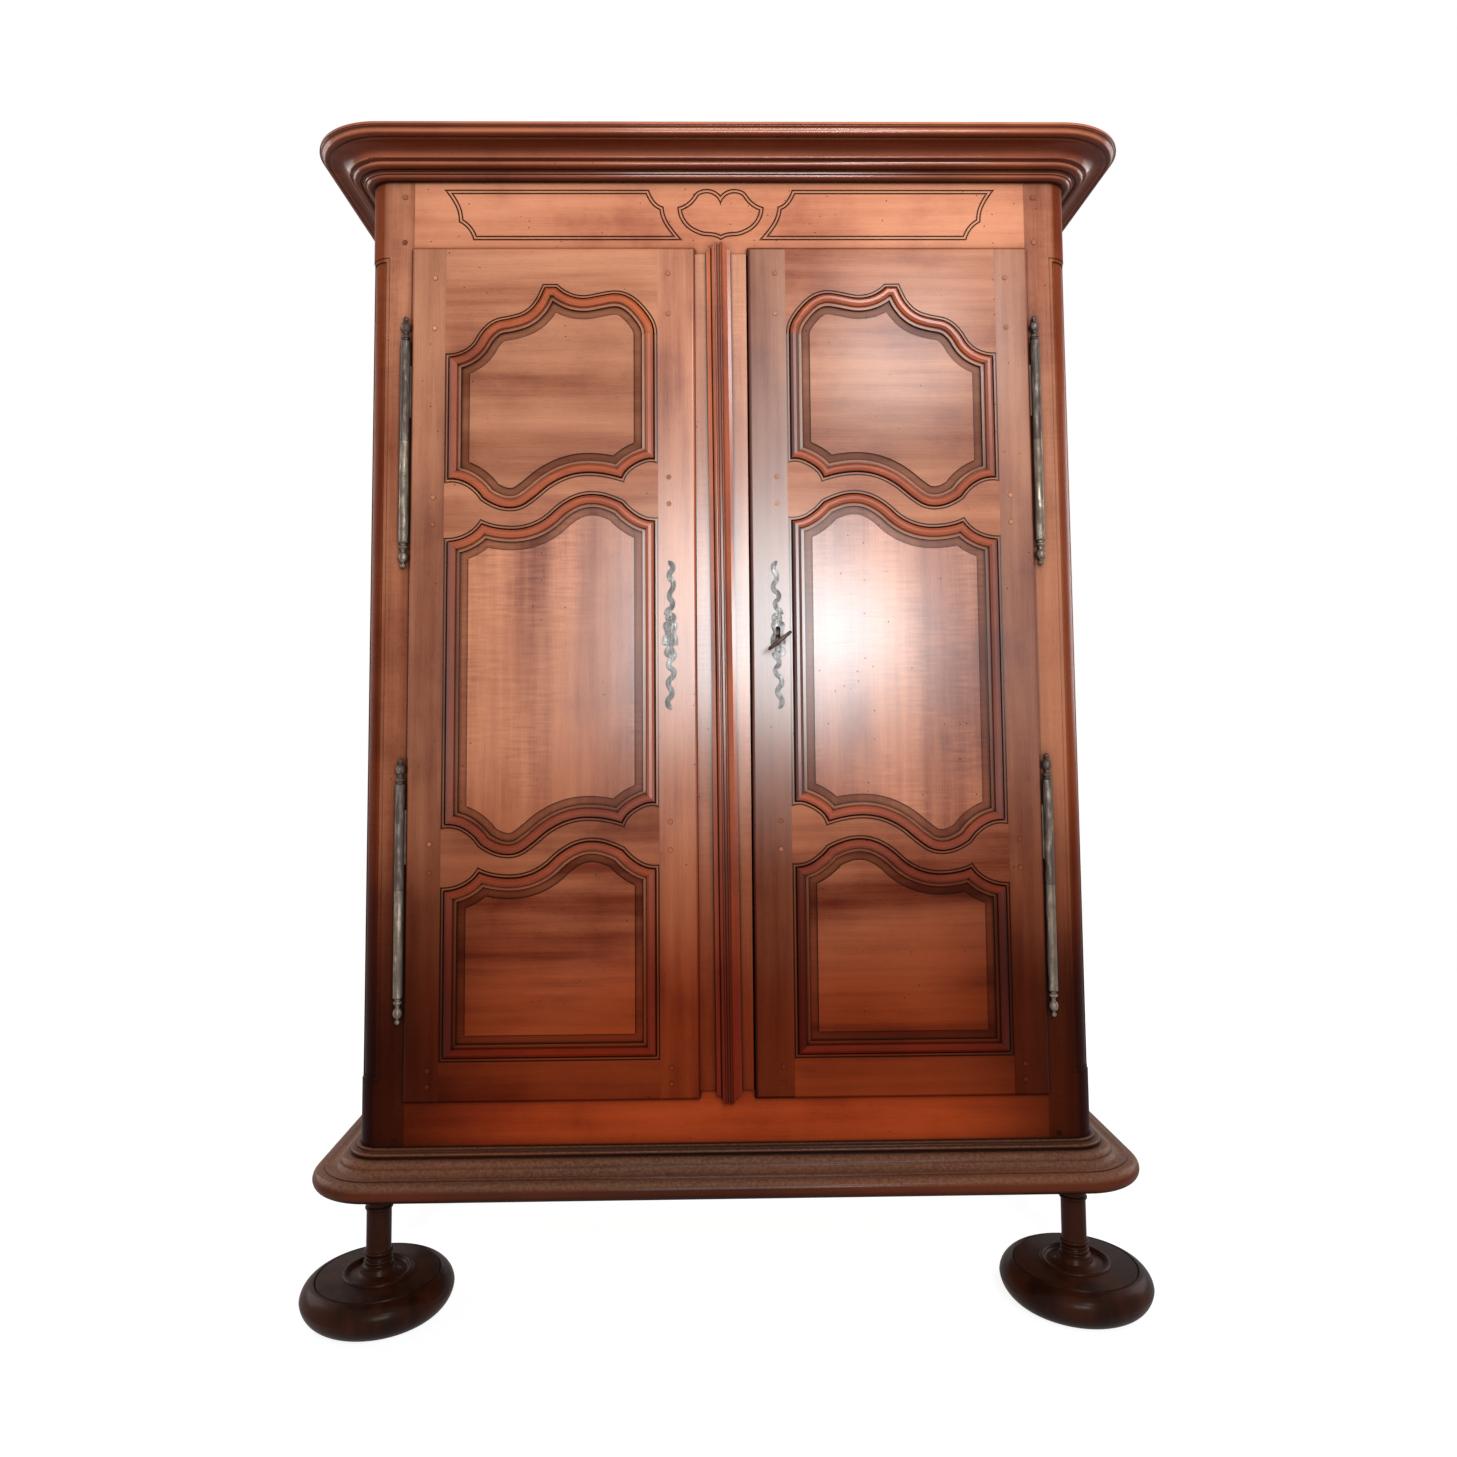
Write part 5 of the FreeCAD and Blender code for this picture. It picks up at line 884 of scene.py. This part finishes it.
@dataclass(frozen=True)
class Iron:
    """Old iron, worn bright where it is handled, with a dark rim where the rim is above 0."""

    name: str
    bare: Colour = (0.072, 0.056, 0.047)
    worn: Colour = (0.17, 0.14, 0.12)
    rust: Colour = (0.045, 0.022, 0.012)
    rust_share: float = 0.7
    rough: float = 0.42
    grain: float = 1.0
    rim: float = 0.0
    rim_limits: Limits = (0.82, 0.98)
    rim_share: float = 0.95
    crevice_reach: float = 0.004
    crevice_limits: Limits = (0.4, 0.95)
    crevice_share: float = 0.85
    metallic: float = 0.95
    rust_metallic: float = -0.85
    rust_rough: float = 0.3
    edge: float = 0.0007
    skin_height: float = 0.0004
    skin_strength: float = 0.6

    def material(self, effects: Effects) -> bpy.types.Material:
        """Builds the metal's material.

        Args:
            effects: the shared effects.

        Returns:
            The material.
        """
        material, w, shader = surface(self.name)
        spot = w.add("TexCoord").outputs["Object"]
        skin = w.place(effects.skin, Position=spot, Grain=self.grain)
        rust = w.product(skin["Rust"], self.rust_share)
        metal = w.mix(skin["Wear"], self.bare, self.worn)
        # Darker in crevices: grime and painted shade.
        opened = w.openness(self.crevice_reach)
        crevice = w.spread(opened, self.crevice_limits, self.crevice_share, 0.0)
        cover = w.math("MAXIMUM", rust, crevice)
        if self.rim > 0:
            rounded, plain = w.rounding(self.rim, FINE_SAMPLES), w.add("NewGeometry").outputs["Normal"]
            likeness = w.fed("VectorMath", rounded, plain, operation="DOT_PRODUCT").outputs["Value"]
            cover = w.math("MAXIMUM", cover, w.spread(likeness, self.rim_limits, self.rim_share, 0.0))
        inputs = {
            "Base Color": w.mix(cover, metal, self.rust),
            "Metallic": w.math("MULTIPLY_ADD", rust, self.rust_metallic, self.metallic),
            "Roughness": w.math("MULTIPLY_ADD", rust, self.rust_rough, self.rough),
            "Normal": w.bump(skin["Height"], self.skin_height, self.skin_strength, w.rounding(self.edge)),
        }
        w.fill(shader, inputs)
        return material


# The wardrobe's sub-assemblies


@dataclass
class SubAssembly:
    """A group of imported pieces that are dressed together, with the finish of each."""

    finishes: dict[str, Timber | Iron] = field(default_factory=dict, init=False)
    label = "parts"

    def dress(self, effects: Effects) -> None:
        """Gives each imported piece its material.

        Args:
            effects: the shared effects.
        """
        made: dict[str, bpy.types.Material] = {}
        for node, finish in self.finishes.items():
            if finish.name not in made:
                made[finish.name] = finish.material(effects)
            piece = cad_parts[node]
            if not piece.material_slots:
                piece.data.materials.append(made[finish.name])
            for slot in piece.material_slots:
                slot.material = made[finish.name]
            LOG.info("%s: %s in %s", self.label, node, finish.name)


@dataclass
class Carcass(SubAssembly):
    """The corner stiles, the rails, the sides, the back and the inner boards."""

    label: str = "carcass"
    first_side_seed: float = 5.0
    poplar: Colour = (0.33, 0.185, 0.098)
    inner_wood: Colour = (0.36, 0.21, 0.118)

    def __post_init__(self) -> None:
        """Finds every finish."""
        self.finish_front()
        for step, side in enumerate(SIDES):
            self.finish_side(side, self.first_side_seed + step)
        self.finish_raw_boards()
        self.finishes["carcass_pegs"] = Timber(
            "peg_wood", Grain.DEEP, seed=17.0, shade=0.92, polish=0.3, rounded=0.0
        )

    def finish_front(self) -> None:
        """Finds the finishes of the corner stiles and of the two rails between them."""
        corner = {
            "grain": Grain.UP, "shade": 0.82, "streak": 0.4, "curl": 0.3, "face": CARCASS_FACE,
            "rubbing": -0.7, "gleam": 1.4,
        }
        rail = {"grain": Grain.ACROSS, "streak": 0.3, "face": CARCASS_FACE}
        self.finishes.update(
            front_left_stile=Timber("left_corner_walnut", seed=1.0, polish=0.25, **corner),
            front_right_stile=Timber("right_corner_walnut", seed=2.0, polish=0.9, **corner),
            frieze_rail=Timber(
                "frieze_walnut", seed=3.0, shade=1.14, contrast=0.6, holes=1.0, edge=0.003, **rail
            ),
            bottom_rail=Timber("bottom_rail_walnut", seed=4.0, shade=1.6, contrast=0.8, **rail),
        )

    def finish_side(self, side: str, seed: float) -> None:
        """Finds the finishes of one side and its rear stile.

        Args:
            side: left or right.
            seed: where its boards are cut from the figure.
        """
        self.finishes[f"{side}_side_rails"] = Timber(
            f"{side}_side_rail_walnut", Grain.DEEP, seed, shade=0.95
        )
        self.finishes[f"{side}_side_panels"] = Timber(
            f"{side}_side_panel_walnut", Grain.UP, seed + 2, shade=1.05, streak=0.5
        )
        self.finishes[f"rear_{side}_stile"] = Timber(f"{side}_rear_walnut", Grain.UP, seed + 4, shade=0.75)

    def finish_raw_boards(self) -> None:
        """Finds the finishes of the bare boards at the back and inside."""
        bare = {
            "polish": 0.0, "rough": 0.75, "grime_and_shade": 0.6, "rounded": 0.0, "holes": 0.4, "streak": 0.16,
        }
        for node, name, grain, seed, tint in (
            ("back_rails", "back_rail_wood", Grain.ACROSS, 11.0, self.poplar),
            ("back_boards", "back_board_wood", Grain.UP, 12.0, self.poplar),
            ("floor_boards", "floor_boards_wood", Grain.ACROSS, 13.0, self.inner_wood),
            ("ceiling_boards", "ceiling_boards_wood", Grain.ACROSS, 14.0, self.inner_wood),
            ("shelves", "shelves_wood", Grain.ACROSS, 15.0, self.inner_wood),
            ("cleats", "cleats_wood", Grain.DEEP, 16.0, self.inner_wood),
        ):
            self.finishes[node] = Timber(name, grain, seed, tint=tint, **bare)


@dataclass
class Mouldings(SubAssembly):
    """The cornice, the base and the feet."""

    label: str = "mouldings"
    base_tint: Colour = (0.095, 0.026, 0.010)
    foot_tint: Colour = (0.024, 0.0058, 0.0022)

    def __post_init__(self) -> None:
        """Finds every finish."""
        shared = {"streak": 0.4, "gloss": 0.16, "gleam": 1.5, "grime_and_shade": 1.1, "under": 0.9}
        cornice = {"holes": 0.4, "polish": 0.7, "rubbing": 0.8, "round_tone": (0.85, 0.62, 0.48)}
        base = {
            "holes": 0.6, "polish": 0.05, "rubbing": 0.3, "round_tone": (0.7, 0.5, 0.4),
            "dust": 0.5, "tint": self.base_tint,
        }
        for name, seed, style in (("cornice", 20.0, cornice), ("base", 24.0, base)):
            style.update(shared)
            self.finishes[f"{name}_front"] = Timber(f"{name}_walnut", Grain.ACROSS, seed, **style)
            for step, side in enumerate(SIDES, start=1):
                self.finishes[f"{name}_{side}"] = Timber(
                    f"{name}_{side}_walnut", Grain.DEEP, seed + step, **style
                )
        for seed, side in enumerate(SIDES, start=28):
            self.finishes[f"{side}_foot"] = Timber(
                f"{side}_foot_walnut", Grain.UP, float(seed),
                tint=self.foot_tint, polish=0.09, holes=0.2, rounded=0.0,
            )


@dataclass
class Door(SubAssembly):
    """One door's frame, panels and pegs."""

    side: str
    seed: float
    lock_shade: float
    # The tone of the lock stile's rounds and lip; on the right door it is darker, painted shade on a lip
    # that faces away from the lamps.
    lock_round_tone_and_shade: Colour
    lock_rubbing: float
    lower_panel_shade: float
    rail_names: tuple[str, ...] = ("bottom", "lower_middle", "upper_middle", "top")
    round_tone: Colour = (0.85, 0.44, 0.23)

    def __post_init__(self) -> None:
        """Finds every finish."""
        self.label = f"{self.side} door"
        self.finish(
            "hinge_stile", Grain.UP, 0,
            shade=0.65, streak=0.5, polish=1.0, gleam=1.62, round_tone=self.round_tone,
        )
        self.finish(
            "lock_stile", Grain.UP, 1,
            shade=self.lock_shade, streak=0.5, polish=1.0, gloss=0.3, gleam=1.65,
            round_tone=self.lock_round_tone_and_shade, rubbing=self.lock_rubbing,
        )
        for step, name in enumerate(self.rail_names, start=2):
            self.finish(
                f"{name}_rail", Grain.ACROSS, step,
                shade=0.79, streak=0.4, polish=0.8, round_tone=self.round_tone,
            )
        self.finish("upper_panel", Grain.ACROSS, 7, shade=0.69, streak=0.5, holes=0.35, polish=0.8)
        self.finish(
            "middle_panel", Grain.UP, 8,
            shade=0.92, streak=0.5, curl=0.8, holes=0.3, polish=1.0, gloss=0.27, gleam=1.62,
        )
        self.finish("lower_panel", Grain.ACROSS, 9, shade=self.lower_panel_shade, streak=0.9, polish=0.6)
        self.finishes[f"{self.side}_door_pegs"] = Timber(
            f"{self.side}_peg_wood", Grain.DEEP, self.seed + 10, shade=0.92, polish=0.3, rounded=0.0
        )

    def finish(self, name: str, grain: Grain, step: int, **style: object) -> None:
        """Finds the finish of one member or panel.

        Args:
            name: the last part of the piece's name.
            grain: the way its fibres run.
            step: how far its board lies from the door's first.
            style: the other fields of its timber.
        """
        timber = Timber(f"{self.side}_{name}_walnut", grain, self.seed + step, **style)
        self.finishes[f"{self.side}_door_{name}"] = timber


@dataclass
class CentrePost(SubAssembly):
    """The cover strip on the left door and its moulded pilaster."""

    label: str = "centre post"

    def __post_init__(self) -> None:
        """Finds both finishes."""
        self.finishes.update(
            centre_strip=Timber(
                "strip_walnut", Grain.UP, seed=61.0,
                shade=0.74, curl=0.5, polish=1.0, gloss=0.28, gleam=1.7, rounded=0.4,
            ),
            centre_pilaster=Timber(
                "pilaster_walnut", Grain.UP, seed=62.0,
                shade=1.2, streak=0.4, curl=0.3, polish=0.6, gloss=0.22, gleam=1.5, grime_and_shade=0.6,
                round_tone=(0.72, 0.46, 0.29),
            ),
        )


@dataclass
class Ironwork(SubAssembly):
    """The hinges, the plates, the lock with its key, and the upright bolts."""

    label: str = "ironwork"
    sockets: Iron = Iron(
        "socket_iron", bare=(0.15, 0.115, 0.088), worn=(0.34, 0.28, 0.22), rust_share=0.6, grain=1.6
    )
    knuckles: Iron = Iron("knuckle_iron", worn=(0.22, 0.18, 0.15), grain=1.4)
    plates: Iron = Iron(
        "plate_iron", bare=(0.10, 0.096, 0.093), worn=(0.23, 0.22, 0.215), rust_share=0.5, rim=0.0022
    )
    works: Iron = Iron("lock_iron", bare=(0.10, 0.09, 0.08), worn=(0.2, 0.18, 0.165), rust_share=0.8)
    key: Iron = Iron(
        "key_iron", bare=(0.08, 0.05, 0.04), worn=(0.2, 0.14, 0.11), rust_share=0.8, rough=0.4
    )
    works_nodes: tuple[str, ...] = (
        "lock_case", "lock_bolt", "lock_keeper", "upper_bolt", "lower_bolt", "bolt_staples",
    )

    def __post_init__(self) -> None:
        """Finds every finish."""
        for side in SIDES:
            self.finishes[f"{side}_hinge_sockets"] = self.sockets
            self.finishes[f"{side}_hinge_knuckles"] = self.knuckles
            self.finishes[f"{side}_escutcheon"] = self.plates
        self.finishes.update(dict.fromkeys(self.works_nodes, self.works))
        self.finishes["key"] = self.key


# Nails and screws


@dataclass(frozen=True)
class NailHead:
    """A round, domed head that stands on a face, with a slot where it is a screw.

    Its way is 1 where it points to the back and -1 where it points to the front.
    """

    radius: float
    rise: float
    way: int
    material_slot: str
    slotted: bool = False
    steps: int = 24
    rings: int = 5
    slot_share: float = 0.16
    slot_height: float = 0.55

    def mesh(self, name: str) -> bpy.types.Mesh:
        """Builds the head round the Z axis, on the plane of zero height.

        Args:
            name: the mesh's name.

        Returns:
            The mesh.
        """
        shape = bmesh.new()
        rows = [self.ring(shape, math.pi / 2 * ring / self.rings) for ring in range(self.rings)]
        for low, high in zip(rows, rows[1:]):
            for step in range(self.steps):
                following = (step + 1) % self.steps
                shape.faces.new((low[step], low[following], high[following], high[step]))
        shape.faces.new(rows[-1])
        shape.faces.new(list(reversed(rows[0])))
        mesh = bpy.data.meshes.new(name)
        shape.to_mesh(mesh)
        shape.free()
        for face in mesh.polygons:
            face.use_smooth = True
        return mesh

    def ring(self, shape: bmesh.types.BMesh, angle: float) -> list[bmesh.types.BMVert]:
        """Adds one ring of the dome, lowered inside a screw's slot.

        Args:
            shape: the mesh in the making.
            angle: how far up the dome the ring lies, from 0 at its foot.

        Returns:
            The ring's vertices.
        """
        radius, height = self.radius * math.cos(angle), self.rise * math.sin(angle)
        vertices = []
        for turn in (math.tau * step / self.steps for step in range(self.steps)):
            across = radius * math.sin(turn)
            in_slot = self.slotted and abs(across) < self.radius * self.slot_share
            level = height * self.slot_height if in_slot else height
            vertices.append(shape.verts.new((radius * math.cos(turn), across, level)))
        return vertices


@dataclass
class Fastenings:
    """The nails of the plates and the screws of the lock."""

    plate_nail: NailHead = NailHead(0.0028, 0.0017, -1, "plate_iron")
    case_screw: NailHead = NailHead(0.0036, 0.0016, 1, "lock_iron", slotted=True)
    nail_levels: tuple[float, ...] = (1.4075, 1.3355)
    nail_leans: tuple[float, ...] = (-0.002, 0.002)
    screw_columns: Limits = (0.1, 0.9)
    screw_rows: Limits = (0.09, 0.91)
    metal: Iron = Iron("nail_iron", bare=(0.2, 0.18, 0.17), worn=(0.5, 0.48, 0.46), rust_share=0.6)

    def build(self, effects: Effects) -> None:
        """Makes each nail and screw and lets it ride on its door.

        Args:
            effects: the shared effects.
        """
        material = self.metal.material(effects)
        for side, outward in zip(SIDES, (-1, 1)):
            low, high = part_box(f"{side}_escutcheon")
            middle = (low[0] + high[0]) / 2
            for number, (lean, level) in enumerate(zip(self.nail_leans, self.nail_levels), start=1):
                spot = Vector((middle + lean * outward, low[1], level))
                self.stand(f"{side}_plate_nail_{number}", self.plate_nail, spot, f"{side}_door", material)
        low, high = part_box("lock_case")
        width, height = high[0] - low[0], high[2] - low[2]
        corners = [(column, row) for row in self.screw_rows for column in self.screw_columns]
        for number, (column, row) in enumerate(corners, start=1):
            spot = Vector((low[0] + width * column, high[1], low[2] + height * row))
            self.stand(f"lock_screw_{number}", self.case_screw, spot, "right_door", material)

    def stand(
        self, name: str, head: NailHead, spot: Vector, body: str, material: bpy.types.Material
    ) -> None:
        """Puts one head on a face of the front or of the back.

        Args:
            name: the piece's name.
            head: its shape.
            spot: the middle of its foot.
            body: the body it rides on.
            material: its metal.
        """
        piece = bpy.data.objects.new(name, head.mesh(name))
        bpy.context.scene.collection.objects.link(piece)
        turn = Matrix.Rotation(-head.way * math.pi / 2, 4, "X")
        piece.matrix_world = Matrix.Translation(spot) @ turn
        piece.data.materials.append(material)
        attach(piece, body)
        LOG.info("fastenings: %s", name)


# Studio


@dataclass(frozen=True)
class Lens:
    """The photograph's viewpoint, found from the wardrobe's own straight lines."""

    place: Triple = (-0.05246, -2.45928, 1.17154)
    yaw: float = 0.0162
    pitch: float = 0.0683
    roll: float = -0.0076
    focal_pixels: float = 1065.23
    centre: tuple[float, float] = (716.26, 658.57)
    sensor: float = 36.0

    def build(self) -> None:
        """Makes the camera and hands it to the scene."""
        level_share = math.cos(self.pitch)
        ahead = Vector(
            (math.sin(self.yaw) * level_share, math.cos(self.yaw) * level_share, math.sin(self.pitch))
        )
        level = Vector((math.cos(self.yaw), -math.sin(self.yaw), 0.0))
        above = level.cross(ahead)
        right = level * math.cos(self.roll) + above * math.sin(self.roll)
        up = above * math.cos(self.roll) - level * math.sin(self.roll)
        data = bpy.data.cameras.new("camera")
        data.sensor_width = self.sensor
        data.lens = self.focal_pixels / PHOTO_SIDE * self.sensor
        data.shift_x = 0.5 - self.centre[0] / PHOTO_SIDE
        data.shift_y = self.centre[1] / PHOTO_SIDE - 0.5
        camera = bpy.data.objects.new("camera", data)
        turn = Matrix((right, up, -ahead)).transposed().to_4x4()
        camera.matrix_world = Matrix.Translation(Vector(self.place)) @ turn
        bpy.context.scene.collection.objects.link(camera)
        bpy.context.scene.camera = camera
        LOG.info("studio: camera")


@dataclass(frozen=True)
class Lamp:
    """A soft square lamp."""

    name: str
    place: Triple
    aim: Triple
    side: float
    power: float
    colour: Colour = WHITE

    def build(self) -> None:
        """Makes the lamp."""
        data = bpy.data.lights.new(self.name, "AREA")
        data.size = self.side
        data.energy = self.power
        data.color = self.colour
        lamp = bpy.data.objects.new(self.name, data)
        lamp.location = self.place
        lamp.rotation_mode = "QUATERNION"
        lamp.rotation_quaternion = (Vector(self.aim) - Vector(self.place)).to_track_quat("-Z", "Y")
        bpy.context.scene.collection.objects.link(lamp)
        LOG.info("studio: %s", self.name)


@dataclass
class Studio:
    """A pale floor, a white surround and soft lamps.

    Seen or mirrored, the floor glows white: near the wardrobe by a share that keeps the
    shadow, and far away altogether.
    """

    floor_half: float = 14.0
    floor_colour: Colour = (0.86, 0.86, 0.86)
    floor_rough: float = 0.9
    floor_rough_swing: float = 0.05
    glow_distances: Limits = (1.8, 6.5)
    glow_shares: Limits = (0.70, 1.0)
    glow_strengths: Limits = (1.26, 1.0)
    surround: float = 0.16
    lamps: tuple[Lamp, ...] = (
        Lamp("near_lamp", (0.60, -2.60, 1.60), (0.10, -0.25, 1.40), 0.34, 15.0, (0.90, 0.97, 1.0)),
        Lamp("front_lamp", (0.12, -2.72, 1.62), (0.05, -0.25, 1.50), 0.95, 39.0, (0.92, 0.98, 1.0)),
        Lamp("high_lamp", (0.85, -2.70, 2.90), (0.2, -0.25, 1.90), 0.60, 22.0),
        Lamp("left_side_lamp", (-3.6, 1.2, 2.0), (-0.7, 0.1, 1.2), 2.0, 60.0),
        Lamp("right_side_lamp", (3.6, 1.2, 2.0), (0.7, 0.1, 1.2), 2.0, 60.0),
        Lamp("rear_lamp", (0.0, 3.8, 2.4), (0.0, 0.3, 1.2), 2.0, 70.0),
    )

    def build(self) -> None:
        """Makes the floor, the world, the lamps and the camera."""
        self.make_floor()
        self.make_world()
        for lamp in self.lamps:
            lamp.build()
        Lens().build()
        bpy.context.scene.view_settings.view_transform = "Standard"

    def make_floor(self) -> None:
        """Makes a wide plane that shows white and keeps the shadow."""
        half = self.floor_half
        mesh = bpy.data.meshes.new("floor")
        corners = [(-half, -half, 0.0), (half, -half, 0.0), (half, half, 0.0), (-half, half, 0.0)]
        mesh.from_pydata(corners, [], [(0, 1, 2, 3)])
        floor = bpy.data.objects.new("floor", mesh)
        bpy.context.scene.collection.objects.link(floor)
        mesh.materials.append(self.floor_material())
        LOG.info("studio: floor")

    def floor_material(self) -> bpy.types.Material:
        """Builds the floor's material.

        Returns:
            The material.
        """
        material, w, shader = surface("pale_floor")
        spot = w.add("TexCoord").outputs["Object"]
        mottle = w.noise(spot, 3.0, 3.0)
        w.feed(shader.inputs["Base Color"], self.floor_colour)
        rough = w.math("MULTIPLY_ADD", mottle, self.floor_rough_swing, self.floor_rough)
        w.feed(shader.inputs["Roughness"], rough)
        distance = w.fed("VectorMath", spot, operation="LENGTH").outputs["Value"]
        share = w.spread(distance, self.glow_distances, *self.glow_shares)
        glow = w.add("Emission")
        w.feed(glow.inputs["Strength"], w.spread(distance, self.glow_distances, *self.glow_strengths))
        both = w.fed(
            "MixShader", w.product(w.seen_or_mirrored(), share), shader.outputs[0], glow.outputs[0]
        )
        w.feed(material.node_tree.nodes["Material Output"].inputs["Surface"], both.outputs[0])
        return material

    def make_world(self) -> None:
        """Makes a surround that is white where it is seen or mirrored, and softer as light."""
        world = bpy.data.worlds.new("surround")
        world.use_nodes = True
        bpy.context.scene.world = world
        w = Wiring(world.node_tree)
        background = world.node_tree.nodes["Background"]
        w.feed(background.inputs["Color"], WHITE)
        strength = w.spread(w.seen_or_mirrored(), (0.0, 1.0), self.surround)
        w.feed(background.inputs["Strength"], strength)
        LOG.info("studio: surround")


def main() -> None:
    """Builds the looks in order."""
    logging.basicConfig(level=logging.INFO, format="%(name)s %(message)s")
    effects = Effects()
    left_door = Door(
        "left", 31.0,
        lock_shade=0.82, lock_round_tone_and_shade=(0.8, 0.43, 0.2), lock_rubbing=0.8, lower_panel_shade=0.86,
    )
    # The right door's dark lock round tone is painted shade on its lip.
    right_door = Door(
        "right", 45.0,
        lock_shade=0.48, lock_round_tone_and_shade=(0.45, 0.2, 0.1), lock_rubbing=0.3, lower_panel_shade=0.72,
    )
    for assembly in (Carcass(), Mouldings(), left_door, right_door, CentrePost(), Ironwork()):
        assembly.dress(effects)
    Fastenings().build(effects)
    Studio().build()


if __name__ == "__main__":
    main()
